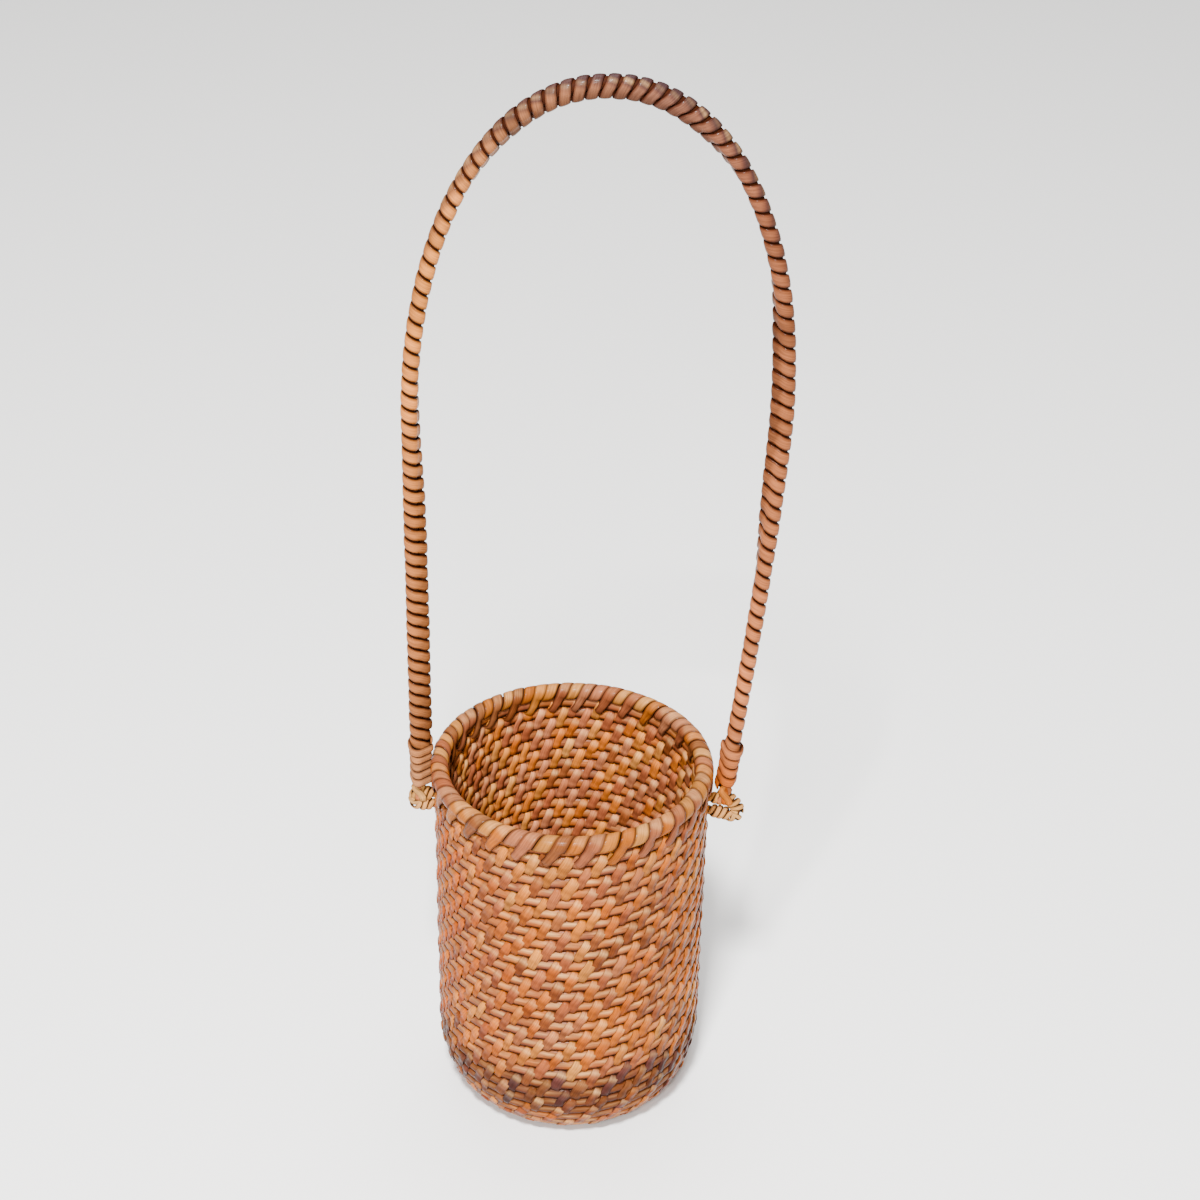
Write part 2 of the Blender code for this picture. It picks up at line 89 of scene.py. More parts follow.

# A noise or the recess is read between two values, and turned to a range of tone, or of
# the gaps' dirt and painted shade.
RANGE_INPUTS = ("From Min", "From Max", "To Min", "To Max")
STREAK_READ = (0.35, 0.70)
STREAK_PALEST = 1.12
BLOTCH_RANGE = (0.3, 0.7, 0.86, 1.10)
GAP_DIRT_AND_SHADE_RANGE = (0.10, 0.95, 0.0, 0.95)

# Each strip's grain starts this much further along the UV map than the last strip's.
UV_STRIP_STEP = 37.1 * MM

# Sections: across and lift of each corner, as shares of the width and height.
STITCH_SECTION = np.array([(-0.50, 0.0), (0.50, 0.0), (0.46, 0.80), (0.0, 1.0), (-0.46, 0.80)])
PEEL_SECTION = np.array([(-0.50, 0.0), (0.50, 0.0), (0.47, 0.55), (0.28, 0.9), (0.0, 1.0),
                         (-0.28, 0.9), (-0.47, 0.55)])

# How deep the corners of each section lie in the gaps beside the strip, from 0 to 1: the
# material darkens them by that to the gaps' dirt and painted shade.
STITCH_EDGE = np.array([0.85, 0.85, 0.20, 0.0, 0.20])
PEEL_EDGE = np.array([1.0, 1.0, 0.75, 0.10, 0.0, 0.10, 0.75])
BAND_EDGE = np.array([1.0, 1.0, 0.50, 0.05, 0.0, 0.05, 0.50])

# Weights of pink, brown, orange and plum in the core cane: everywhere, and added in the dark band.
CORE_MIX = np.array([[1.0, 1.2, 0.8, 0.5],
                     [-0.5, 1.0, -0.6, 1.0]])

# Weights of orange, tan, pink, brown and plum in the outer stitches: everywhere, then what is
# added at the front, high up, in the straw band, in the dark band, and at the front of that.
STITCH_MIX = np.array([[2.0, 0.10, 0.35, 0.6, 0.02],
                       [-1.3, 0.0, 1.0, 0.0, 0.0],
                       [0.6, 0.9, -0.3, 0.0, 0.0],
                       [0.0, 1.5, 0.0, 0.0, 0.0],
                       [-0.6, 0.0, 0.0, 0.8, 1.0],
                       [0.0, 0.0, 0.0, 0.0, 2.0]])
INNER_MIX = (1.0, 0.6, 1.8, 0.3)

Array = np.ndarray
Chance = np.random.Generator
Piece = bpy.types.Object
Family = tuple[str, ...]
Shares = tuple[float, ...]
Triple = tuple[float, float, float]


def linear_rgb(code: str) -> Array:
    """Turn an sRGB hex colour into linear red, green and blue.

    Args:
        code: The colour, as in "#C07A5C".

    Returns:
        Three linear values from 0 to 1.
    """
    parts = np.array([int(code[k:k + 2], 16) for k in (1, 3, 5)]) / 255
    return np.where(parts <= 0.04045, parts / 12.92, ((parts + 0.055) / 1.055) ** 2.4)


def unit(vectors: Array) -> Array:
    """Scale vectors along the last axis to length one."""
    return vectors / np.linalg.norm(vectors, axis=-1, keepdims=True)


def smooth(values: Array) -> Array:
    """Ease values from 0 to 1 with a flat start and end, cut off outside them."""
    share = np.clip(values, 0, 1)
    return share * share * (3 - 2 * share)


def bell(values: Array, middle: float, spread: float) -> Array:
    """Give 1 at the middle and e to the minus (offset over spread) squared beside it."""
    return np.exp(-((values - middle) / spread) ** 2)


def near_side(angles: Array, side: float, degrees: float) -> Array:
    """Give a bell round one side of the basket, with its spread in degrees."""
    away = np.mod(angles - side + math.pi, TURN) - math.pi
    return bell(away, 0, math.radians(degrees))


def running_sum(steps: Array) -> Array:
    """Add steps up one by one, from nought."""
    return np.concatenate([[0], np.cumsum(steps)])


def arc_of(points: Array) -> Array:
    """Give the distance along a run to each of its points."""
    return running_sum(np.linalg.norm(np.diff(points, axis=0), axis=1))


def columns(at: Array, known: Array, table: Array) -> Array:
    """Read each column of a table, given at known places, at other places."""
    return np.stack([np.interp(at, known, column) for column in table.T], -1)


def even_run(points: Array, count: int) -> Array:
    """Read a run of points again at even distances along it."""
    arc = arc_of(points)
    return columns(np.linspace(0, arc[-1], count), arc, points)


def round_section(sides: int) -> Array:
    """Give the section of a round cane, as wide and high as the full width and height."""
    angles = np.arange(sides) * TURN / sides
    return np.stack([np.cos(angles), np.sin(angles)], 1) / 2


def around(radius: Array, height: Array, angle: Array) -> Array:
    """Give points at a radius, height and angle round the basket's axis."""
    return np.stack(np.broadcast_arrays(radius * np.cos(angle), radius * np.sin(angle), height), -1)


def rub_highlight(stains: Array, share: Array) -> Array:
    """Blend stains towards bare rattan by a share, for rubbed crests and painted highlights."""
    return stains * (1 - share) + linear_rgb(RUBBED_HIGHLIGHT) * share


def blend_codes(codes: Family, known: Array, at: Array) -> Array:
    """Blend hex colours, given at known places, at other places."""
    return columns(at, known, np.array([linear_rgb(code) for code in codes]))


def stain_from(families: tuple[Family, ...], weights: Array, rng: Chance) -> Array:
    """Pick a stain for each strip from weighted families of colours.

    The family is the one whose stretch of the weights holds a random number. The stain lies at
    a random place between its three tones, and is made a little darker or paler by chance.

    Args:
        families: The families of hex colours.
        weights: The weight of each family for each strip, strips by families.
        rng: The source of chance.

    Returns:
        Linear colours, strips by three.
    """
    count = len(weights)
    share = np.cumsum(weights, axis=1) / weights.sum(axis=1, keepdims=True)
    family = (rng.random(count)[:, None] > share).sum(axis=1)
    table = np.array([[linear_rgb(code) for code in group] for group in families])
    spot = rng.random(count) * (table.shape[1] - 1)
    low = np.floor(spot).astype(int).clip(0, table.shape[1] - 2)
    rest = (spot - low)[:, None]
    picked = table[family, low] * (1 - rest) + table[family, low + 1] * rest
    return picked * rng.uniform(*TONES, count)[:, None]


def pivot_height() -> float:
    """Give the height of the axis that the handle swings on."""
    return float(frame["joints"][0]["pos_m"][2])


def show(name: str, data: bpy.types.ID) -> Piece:
    """Put a mesh, light or camera into the scene as an object at the origin.

    Args:
        name: The object's name.
        data: What it shows.

    Returns:
        The object.
    """
    item = bpy.data.objects.new(name, data)
    bpy.context.scene.collection.objects.link(item)
    return item


def add_node(tree: bpy.types.NodeTree, kind: str, settings: dict, links: dict) -> bpy.types.Node:
    """Add a node with its settings and the links into it.

    Args:
        tree: The node tree.
        kind: The node's type.
        settings: Values by the name of a property or, failing that, of an input.
        links: A node and its output's name by the name or number of an input.

    Returns:
        The node.
    """
    node = tree.nodes.new(kind)
    for key, value in settings.items():
        if hasattr(node, key):
            setattr(node, key, value)
        else:
            node.inputs[key].default_value = value
    for key, (source, output) in links.items():
        tree.links.new(source.outputs[output], node.inputs[key])
    return node


class Gloss(Enum):
    """How a stuff shines: roughness, coat weight and coat roughness."""

    SKIN = (0.28, 0.025, 0.12)
    CORE = (0.30, 0.020, 0.14)
    DRY = (0.60, 0.0, 0.40)


@dataclass(frozen=True)
class RattanFinish:
    """Rattan with its grain, as slit peel or round cane, from one recipe.

    Attributes:
        name: The material's name.
        gloss: How it shines.
        fibre: The spacing of the fibres across, in metres.
        streak: The length of a streak along, in metres.
        fleck: How much the streaks darken the colour, from 0 to 1.
        relief: The height of the fibres, in metres.
        plain: A fixed colour, for a piece without its own stain attribute.
    """

    name: str
    gloss: Gloss
    fibre: float
    streak: float
    fleck: float
    relief: float
    plain: str = ""

    def material(self) -> bpy.types.Material:
        """Build the material's nodes, or give them if they are there already.

        The colour is the strip's stain, times the streaks, times the blotches, and turns to
        the gaps' dirt and painted shade as far as the point lies in a gap.

        Returns:
            The material.
        """
        found = bpy.data.materials.get(self.name)
        if found is not None:
            return found
        material = bpy.data.materials.new(self.name)
        material.use_nodes = True
        tree = material.node_tree
        shader = tree.nodes["Principled BSDF"]
        body = add_node(tree, "ShaderNodeTexCoord", {}, {})
        spot = (body, "Object")
        if not self.plain:
            spot = (add_node(tree, "ShaderNodeUVMap", {"uv_map": "peel"}, {}), "UV")
        scaled = add_node(tree, "ShaderNodeMapping", {"Scale": (1 / self.fibre, 1 / self.streak, 1)},
                          {"Vector": spot})
        fibres = add_node(tree, "ShaderNodeTexNoise", {"Scale": 1.0, "Detail": 3.0},
                          {"Vector": (scaled, "Vector")})
        blotches = add_node(tree, "ShaderNodeTexNoise", {"Scale": 1 / BLOTCH, "Detail": 2.0},
                            {"Vector": (body, "Object")})
        dark, uneven = (
            add_node(tree, "ShaderNodeMapRange", dict(zip(RANGE_INPUTS, values)),
                     {"Value": (noise, "Fac")})
            for noise, values in ((fibres, (*STREAK_READ, 1 - self.fleck, STREAK_PALEST)),
                                  (blotches, BLOTCH_RANGE)))
        shade = add_node(tree, "ShaderNodeMath", {"operation": "MULTIPLY"},
                         {0: (dark, "Result"), 1: (uneven, "Result")})
        grained = add_node(tree, "ShaderNodeVectorMath", {"operation": "SCALE"},
                           {"Scale": (shade, "Value")})
        colour = (grained, "Vector")
        if self.plain:
            grained.inputs["Vector"].default_value = linear_rgb(self.plain)
        else:
            stain = add_node(tree, "ShaderNodeAttribute", {"attribute_name": "stain"}, {})
            tree.links.new(stain.outputs["Color"], grained.inputs["Vector"])
            depth = add_node(tree, "ShaderNodeAttribute", {"attribute_name": "recess"}, {})
            reach = add_node(tree, "ShaderNodeMapRange",
                             dict(zip(RANGE_INPUTS, GAP_DIRT_AND_SHADE_RANGE)),
                             {"Value": (depth, "Fac")})
            # Deep points turn towards the gaps' dirt and painted shade.
            tint = add_node(tree, "ShaderNodeMix", {"data_type": "RGBA"},
                            {0: (reach, "Result"), 6: colour})
            tint.inputs[7].default_value = (*linear_rgb(GAP_DIRT_AND_SHADE), 1)
            colour = (tint, 2)
        bump = add_node(tree, "ShaderNodeBump", {"Strength": 0.5, "Distance": self.relief},
                        {"Height": (fibres, "Fac")})
        roughness, coat, coat_roughness = self.gloss.value
        settings = {"Roughness": roughness, "Coat Weight": coat, "Coat Roughness": coat_roughness,
                    "IOR": RATTAN_IOR, "Specular IOR Level": RATTAN_SHEEN}
        for key, value in settings.items():
            shader.inputs[key].default_value = value
        tree.links.new(colour[0].outputs[colour[1]], shader.inputs["Base Color"])
        tree.links.new(bump.outputs["Normal"], shader.inputs["Normal"])
        return material

    def dress(self, item: Piece) -> None:
        """Put the material on a piece in place of any that it has."""
        item.data.materials.clear()
        item.data.materials.append(self.material())


# Slit peel keeps the cane's hard skin: it is smooth and catches a soft, long shine.
PEEL = RattanFinish("stained_rattan_peel", Gloss.SKIN, 0.45 * MM, 9 * MM, 0.34, 0.05 * MM)
# Core cane is the wood under the skin: it takes more stain and shows long open pores.
CORE = RattanFinish("stained_rattan_core", Gloss.CORE, 0.6 * MM, 14 * MM, 0.30, 0.06 * MM)
# The lashings are a paler batch of peel, worked damp and left rougher.
PALE = RattanFinish("pale_rattan_peel", Gloss.DRY, 0.5 * MM, 7 * MM, 0.36, 0.08 * MM)
# The handle's canes are bare wood in the gaps of their binding, too deep to catch the light.
WORN = RattanFinish("bare_rattan_core", Gloss.DRY, 0.6 * MM, 14 * MM, 0.30, 0.06 * MM)
# The rim's own cane hardly shows between its strips.
HIDDEN = RattanFinish("hidden_rattan_core", Gloss.CORE, 6 * MM, 6 * MM, 0.30, 0.05 * MM, "#3E1A0C")


@dataclass(frozen=True)
class WearHighlight:
    """A rubbed streak that is also a painted highlight: how bare, where along or across, how wide.
    """

    least: float
    most: float
    middle: float
    spread: float

    def draw(self, rng: Chance, count: int) -> Array:
        """Draw how bare each streak is."""
        return rng.uniform(self.least, self.most, count)

    def streak(self, places: Array) -> Array:
        """Give a bell round the streak's middle at places."""
        return bell(places, self.middle, self.spread)


@dataclass
class Strips:
    """Strips of one section carried along paths of equal length, kept as whole arrays.

    A corner lies at the path's point, plus across times the width times its first share, plus
    lift times the height times its second share. Across is square to the path and the normal,
    and lift is square to the path and across.

    Attributes:
        paths: The points, strips by stations by three.
        normals: The outward directions, as the points.
        widths: The widths, in any shape that spreads over strips by stations.
        heights: The heights, likewise.
        section: The section.
        stains: Linear colours, which spread over the stations and, in a fourth axis, the corners.
        recess: How deep each corner lies in a gap, from 0 to 1, which spreads over the corners.
        closed: Whether each strip runs round to its own start.
    """

    paths: Array
    normals: Array
    widths: Array
    heights: Array
    section: Array
    stains: Array
    recess: Array | float
    closed: bool = False

    def __post_init__(self) -> None:
        """Spread the widths and heights over all stations."""
        self.widths, self.heights = (np.broadcast_to(values, self.paths.shape[:2])
                                     for values in (self.widths, self.heights))

    def corners(self) -> Array:
        """Place the section's corners at every station.

        Returns:
            The corners, strips by stations by section corners by three.
        """
        if self.closed:
            padded = np.concatenate([self.paths[:, -1:], self.paths, self.paths[:, :1]], axis=1)
            along = unit(padded[:, 2:] - padded[:, :-2])
        else:
            along = unit(np.gradient(self.paths, axis=1))
        across = unit(np.cross(along, self.normals))
        lift = np.cross(across, along)
        side = self.widths[:, :, None, None] * self.section[:, 0, None]
        rise = self.heights[:, :, None, None] * self.section[:, 1, None]
        return self.paths[:, :, None] + across[:, :, None] * side + lift[:, :, None] * rise

    def faces(self, points: Array) -> tuple[Array, Array]:
        """Number the faces so that they point outwards.

        Args:
            points: The corners, strips by stations by section corners by three.

        Returns:
            The side faces with four corners each, and the end faces.
        """
        shape = points.shape[:3]
        number = np.arange(math.prod(shape)).reshape(shape)
        ahead = np.roll(number, -1, axis=1) if self.closed else number[:, 1:]
        here = number if self.closed else number[:, :-1]
        sides = np.stack([here, np.roll(here, -1, axis=2), np.roll(ahead, -1, axis=2), ahead], -1)
        sides = sides.reshape(-1, 4)
        ends = np.concatenate([number[:, 0, ::-1], number[:, -1]])
        if self.closed:
            ends = ends[:0]
        flat = points.reshape(-1, 3)
        a, b, c, d = (flat[sides[:, k]] - flat.mean(axis=0) for k in range(4))
        volume = ((np.cross(b, c) + np.cross(c, d)) * a).sum()
        return (sides, ends) if volume > 0 else (sides[:, ::-1], ends[:, ::-1])

    def build(self, name: str) -> Piece:
        """Make the strips into one smooth mesh with a UV map and two attributes.

        The UV map holds the distance across and along each strip in metres. The attribute stain
        holds the peel's own colour and the attribute recess how deep a point lies, from 0 to 1.

        Args:
            name: The piece's name.

        Returns:
            The new object.
        """
        points = self.corners()
        shape = points.shape[:3]
        sides, ends = self.faces(points)
        mesh = bpy.data.meshes.new(name)
        mesh.from_pydata(points.reshape(-1, 3), [], sides.tolist() + ends.tolist())
        steps = np.linalg.norm(np.diff(self.paths, axis=1), axis=2)
        start = np.arange(shape[0])[:, None] * UV_STRIP_STEP
        arc = np.concatenate([start, start + np.cumsum(steps, axis=1)], axis=1)
        across = self.widths[:, :, None] * self.section[:, 0]
        uv = np.stack(np.broadcast_arrays(across, arc[:, :, None]), -1).reshape(-1, 2)
        uv = uv[np.concatenate([sides.ravel(), ends.ravel()])].astype(np.float32)
        mesh.uv_layers.new(name="peel").data.foreach_set("uv", uv.ravel())
        stain = np.ones((*shape, 4), np.float32)
        stain[..., :3] = self.stains if self.stains.ndim == 4 else self.stains[:, :, None]
        depth = np.broadcast_to(self.recess, shape).astype(np.float32)
        for word, kind, key, values in (("stain", "FLOAT_COLOR", "color", stain),
                                        ("recess", "FLOAT", "value", depth)):
            mesh.attributes.new(word, kind, "POINT").data.foreach_set(key, values.ravel())
        mesh.shade_smooth()
        return show(name, mesh)


def seat(piece: Piece, finish: RattanFinish, body: str, node: str) -> None:
    """Finish a piece: its material, the body it rides on and the node it replaces.

    Args:
        piece: The piece.
        finish: Its finish.
        body: The body that it rides on.
        node: The CAD node that it stands for.
    """
    finish.dress(piece)
    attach(piece, body)
    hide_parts(node)
    LOG.info("%s: %d faces, on %s", piece.name, len(piece.data.polygons), body)


@dataclass
class Outline:
    """The basket's outer outline, from the middle of the base to the wall's top.

    It runs flat out to the corner, round a quarter of an ellipse, and up a straight wall.
    """

    corner_reach: float = 18 * MM
    corner_height: float = 33 * MM
    foot_inset: float = 1.5 * MM
    half_wall: float = 2.5 * MM
    samples: int = 400
    arc: Array = field(init=False)
    radius: Array = field(init=False)
    height: Array = field(init=False)

    def __post_init__(self) -> None:
        """Sample the outline from the frame's sizes."""
        low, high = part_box("rim_cane")
        top_radius = high.x - (high.z - low.z) / 2 + self.half_wall
        foot = round(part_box("rim_sewing_strip")[1].x / MM) * MM - self.foot_inset
        turn = np.linspace(0, math.pi / 2, self.samples)
        corner_r = foot - self.corner_reach * (1 - np.sin(turn))
        corner_z = self.corner_height * (1 - np.cos(turn))
        self.radius = np.concatenate([[0], corner_r, [top_radius]])
        self.height = np.concatenate([[0], corner_z, [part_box("wall_coil")[1].z]])
        self.arc = arc_of(np.stack([self.radius, self.height], 1))

    @property
    def length(self) -> float:
        """Give the outline's whole length."""
        return float(self.arc[-1])

    @property
    def foot(self) -> float:
        """Give the outline's radius at the corner's top."""
        return float(self.radius[-2])

    def read(self, distance: Array) -> tuple[Array, Array]:
        """Give radius and height at a distance, run on straight up past the top."""
        over = np.maximum(distance - self.length, 0)
        return (np.interp(distance, self.arc, self.radius),
                np.interp(distance, self.arc, self.height) + over)

    def place(self, distance: Array, depth: Array) -> tuple[Array, ...]:
        """Give radius, height and the outward direction's two parts at a depth inward.

        The direction is square to the chord over one millimetre each way.

        Args:
            distance: The distance along the outline.
            depth: The depth inward from it.

        Returns:
            Radius, height, the direction's radial part and its upward part.
        """
        before = self.read(np.maximum(distance - MM, 0))
        after = self.read(np.maximum(distance, 0) + MM)
        run_r, run_z = after[0] - before[0], after[1] - before[1]
        run = np.hypot(run_r, run_z)
        radius, height = self.read(distance)
        out_r, out_z = run_z / run, -run_r / run
        return radius - depth * out_r, height - depth * out_z, out_r, out_z


@dataclass
class Coil:
    """The coiled base and wall: one core cane, sewn row to row with slanted stitches of peel.

    Distances along the outline count in turns of the coil. The heart takes the first 0.8 turn.
    The stitches lie closer at the back of the basket than in front, and each row's stitches
    lag those below by the part of a spacing that the count for each turn leaves over.
    """

    outline: Outline
    rng: Chance
    heart: float = 0.8
    base_turns: int = 6
    wall_rows: int = 31
    thickness: float = 5.0 * MM

    # The core cane, which starts coiled in on itself and rises a little past the wall's top
    core_start: float = -0.49
    core_top_reach: float = 1.9 * MM
    core_height_share: float = 1.02
    core_depth: float = 4.15 * MM
    core_steps: int = 72
    core_sides: int = 12

    # The stitches, with the stations along half of one as shares of a row
    stitches_per_turn: float = 29.567
    crowding: float = 0.15
    stitch_share: float = 0.310
    inner_widening: float = 1.12
    end_taper: float = 0.30
    stitch_thickness: float = 0.55 * MM
    outer_slant: float = 5.3 * MM
    inner_slant: float = 4.0 * MM
    half_stations: Shares = (0.2, 0.45, 0.72, 0.88, 1.0)

    # How deep a stitch dips between its rows, at its ends, low down and where its top row ends,
    # how far it presses into the cane, and how far the floor's stitches stand off the table
    middle_dip: float = 0.35 * MM
    end_dip: float = 2.1 * MM
    lower_sink: float = 0.35 * MM
    top_sink: float = 2.0 * MM
    bedding: float = 0.05 * MM
    floor_rise: float = 0.5 * MM

    # How much a stitch's lean, place, depth, width and thickness vary
    uneven: Shares = (0.10, 0.018, 0.06 * MM, 0.08, 0.10)

    # Where the gaps' dirt and painted shade begin: across the cane, above and below, and down a
    # stitch's two ends
    core_gap: tuple[float, float] = (0.66, 0.02)
    core_gap_fade: float = 0.60
    sunk_from: tuple[float, float] = (1.0 * MM, 0.4 * MM)
    sunk_fade: float = 1.2 * MM

    # Stain and shade: the dark band's top and foot as shares of the height, with their fades
    band_top: tuple[float, float] = (0.25, 0.04)
    band_foot: tuple[float, float] = (0.12, 0.05)
    foot_loss: float = 0.9
    band_shade: float = 0.54
    core_band_shade: float = 0.52
    core_stained: float = 0.55
    left_shade: Triple = (0.08, 0.32, 0.60)
    # Inside, the first raises the stitches' stains as painted light, and the second lowers them
    # towards the left and right sides as painted shade.
    inner_light_and_shade: tuple[float, float] = (1.42, 0.47)
    inner_tint: Triple = (1.0, 1.08, 1.35)
    lower_shade: float = 0.28
    lower_shade_from: tuple[float, float] = (0.2, 1.1)

    # Where the outer stitches change: how far pink reaches round the front and red round the
    # left side in degrees, where the wall's upper part begins, and the straw band
    pink_spread: float = 38.0
    red_spread: float = 50.0
    upper_from: tuple[float, float] = (0.70, 0.12)
    straw_band: tuple[float, float] = (0.31, 0.04)

    # Wear and painted highlight on the crests: full in front, over a spread in degrees, with a
    # share of it left at the back, for the cane and for the stitches. The dark band takes a
    # share of the cane's.
    highlight_spread: float = 45.0
    highlight_back: tuple[float, float] = (0.3, 0.2)
    highlight_band_loss: float = 0.6
    core_wear_highlight: WearHighlight = WearHighlight(0.05, 0.70, 0.55, 0.16)
    stitch_wear_highlight: WearHighlight = WearHighlight(0.0, 0.55, 0.70, 0.18)

    @property
    def turns(self) -> float:
        """Give the number of turns from the middle to the wall's top."""
        return self.heart + self.base_turns + self.wall_rows

    @property
    def pitch(self) -> float:
        """Give the height of one row along the outline."""
        return self.outline.length / self.turns

    def darkness(self, level: Array) -> Array:
        """Give how dark the wall's low band is at heights: full over it and less below it.

        Args:
            level: The heights.

        Returns:
            The darkness at each, from 0 to 1.
        """
        share = level / self.outline.height[-1]
        (top, top_fade), (foot, foot_fade) = self.band_top, self.band_foot
        return smooth((top - share) / top_fade) * (
            1 - self.foot_loss * smooth((foot - share) / foot_fade))

    def front_highlight(self, angle: Array, back: float) -> Array:
        """Give the share of wear and painted highlight at angles: full in front, a share at the
        back.
        """
        return back + (1 - back) * near_side(angle, FRONT, self.highlight_spread)

    def core(self, name: str, first: float, last: float) -> Piece:
        """Lay the core cane between two turns, as an oval cane in a spiral.

        The cane's middle runs half a row above its lower groove. In its last turn the row's
        height shrinks to nothing at the level top under the rim's cane, and the cane tapers.

        Args:
            name: The piece's name.
            first: The turn it starts at.
            last: The turn it ends at.

        Returns:
            The piece.
        """
        count = int((last - first) * self.core_steps) + 1
        turn = np.linspace(first, last, count)
        angle = (turn - self.heart) * TURN
        low = turn * self.pitch
        high = np.minimum(low + self.pitch, self.outline.length + self.core_top_reach)
        radius, height, out_r, out_z = self.outline.place((low + high) / 2, self.thickness / 2)
        wide = (high - low) * self.core_height_share
        deep = self.core_depth * np.sqrt(np.clip((high - low) / self.pitch, 0.02, 1))
        section = round_section(self.core_sides)
        across = -2 * section[:, 0]
        gap = np.abs(across) - np.where(across > 0, *self.core_gap)
        dark = self.darkness(height)
        mix = np.stack([np.ones(count), dark], 1) @ CORE_MIX
        stain = stain_from((PINK, BROWN, ORANGE, PLUM), mix, self.rng)
        stain = linear_rgb(BROWN[0]) * (1 - self.core_stained) + stain * self.core_stained
        stain = stain * (1 - self.core_band_shade * dark)[:, None]
        # The rubbed streak on the cane's crest is also painted highlight, fullest in front.
        worn_highlight = self.core_wear_highlight.draw(self.rng, count) * (1 - self.highlight_band_loss * dark)
        worn_highlight = worn_highlight * self.front_highlight(angle, self.highlight_back[0])
        worn_highlight = worn_highlight[:, None, None] * self.core_wear_highlight.streak(across)[:, None]
        return Strips(around(radius, height, angle)[None], around(out_r, out_z, angle)[None], wide,
                      deep, section, rub_highlight(stain[:, None], worn_highlight)[None],
                      smooth(gap / self.core_gap_fade)).build(name)

    def closeness(self, angles: Array, radius: Array) -> Array:
        """Give how close the stitches lie, against those on the wall's left and right sides."""
        crowd = 1 + self.crowding * np.cos(angles - CROWDED_SIDE)
        return np.minimum(1, radius / self.outline.foot) * crowd

    def stitch_angles(self) -> Array:
        """Place the stitches: one where the closeness, summed along the coil, is a whole number.

        Returns:
            The angle of each, counted on from the heart over all turns.
        """
        angle = np.linspace(TURN, (self.turns - self.heart) * TURN, 20000)
        radius = self.outline.read(self.pitch * (self.heart + angle / TURN))[0]
        rate = self.closeness(angle, radius)
        count = running_sum(np.diff(angle) * (rate[1:] + rate[:-1]) / 2)
        count = count * self.stitches_per_turn / TURN
        return np.interp(np.arange(1, int(count[-1])), count, angle)

    def stitch_depth(self, share: Array, room: Array) -> Array:
        """Give how deep a stitch's underside lies under the face.

        It follows the core's round back over each row, but no deeper than the dip between the
        rows or at the ends. Its lower half lies deeper, and so does all of it where the top
        row has less room.

        Args:
            share: The place along the stitch, from -1 at its lower end to 1 at its upper end.
            room: The share of a row's height that there is at that place.

        Returns:
            The depth at each place.
        """
        off_crest = np.abs(np.abs(share) - 0.5) / 0.5
        back = self.core_depth / 2 * (1 - np.sqrt(1 - (off_crest * 0.97) ** 2))
        dip = np.where(np.abs(share) < 0.5, self.middle_dip, self.end_dip)
        under = (self.thickness - self.core_depth) / 2 - self.bedding
        lowered = self.lower_sink * smooth(0.5 - share)
        squeezed = self.top_sink * (1 - np.sqrt(np.clip(room, 0.02, 1)))
        return np.minimum(back, dip) + squeezed + lowered + under

    def stitches(self, name: str, inner: bool, first: float, last: float) -> Piece:
        """Sew the stitches on one face of the coil between two turns.

        A stitch runs over its own row and the row below. It rises out of the groove under the
        lower row, swells over both rows, dips between them and sinks into the groove above.
        It leans along the coil as it rises outside, and the other way inside.

        Args:
            name: The piece's name.
            inner: True for the face inside the basket.
            first: The turn of the first stitch's middle.
            last: The turn of the last stitch's middle.

        Returns:
            The piece.
        """
        angles = self.stitch_angles()
        turns = self.heart + angles / TURN
        angles = angles[(turns >= first) & (turns < last), None]
        half = np.array(self.half_stations)
        share = np.concatenate([-half[::-1], [0], half])[None]
        jitter = self.rng.normal(size=(5, len(angles), 1)) * np.array(self.uneven)[:, None, None]
        ring = self.outline.read(self.pitch * (self.heart + angles / TURN))[0]
        spacing = TURN * ring / (self.stitches_per_turn * self.closeness(angles, ring))
        slant = -self.inner_slant if inner else self.outer_slant
        shift = slant * (1 + jitter[0]) / 2 * share + spacing * jitter[1]
        if inner:
            shift = shift + self.inner_slant / 2
        angle = angles + shift / ring
        groove = self.pitch * (self.heart + angle / TURN)
        upper = np.minimum(self.pitch, self.outline.length - groove)
        distance = groove + share * np.where(share > 0, upper, self.pitch)
        depth = self.stitch_depth(share, np.where(share > 0, upper / self.pitch, 1.0)) + jitter[2]
        sunk = smooth((depth - np.where(share > 0, *self.sunk_from)) / self.sunk_fade)
        radius, height, out_r, out_z = self.outline.place(
            distance, self.thickness - depth if inner else depth)
        wide, facing = self.stitch_share * self.inner_widening, -1
        if not inner:
            height = height + self.floor_rise * np.clip(-out_z, 0, 1)
            wide, facing = self.stitch_share, 1
        width = spacing * wide * (1 - self.end_taper * np.abs(share) ** 6) * (1 + jitter[3])
        stain = self.stitch_stains(height.mean(axis=1), np.mod(angles[:, 0], TURN), inner)
        begin, fade = self.lower_shade_from
        shade = self.lower_shade * smooth((begin - share) / fade)
        stain = stain[:, None] * (1 - shade)[:, :, None]
        # The rubbed streak near each stitch's top is also painted highlight, fullest in front
        # outside.
        worn_highlight = self.stitch_wear_highlight.draw(self.rng, len(angles))[:, None]
        worn_highlight = worn_highlight * self.stitch_wear_highlight.streak(share)
        if not inner:
            worn_highlight = worn_highlight * self.front_highlight(angles, self.highlight_back[1])
        return Strips(around(radius, height, angle), facing * around(out_r, out_z, angle), width,
                      self.stitch_thickness * (1 + jitter[4]), STITCH_SECTION,
                      rub_highlight(stain, worn_highlight[:, :, None]),
                      np.maximum(STITCH_EDGE, sunk[:, :, None])).build(name)

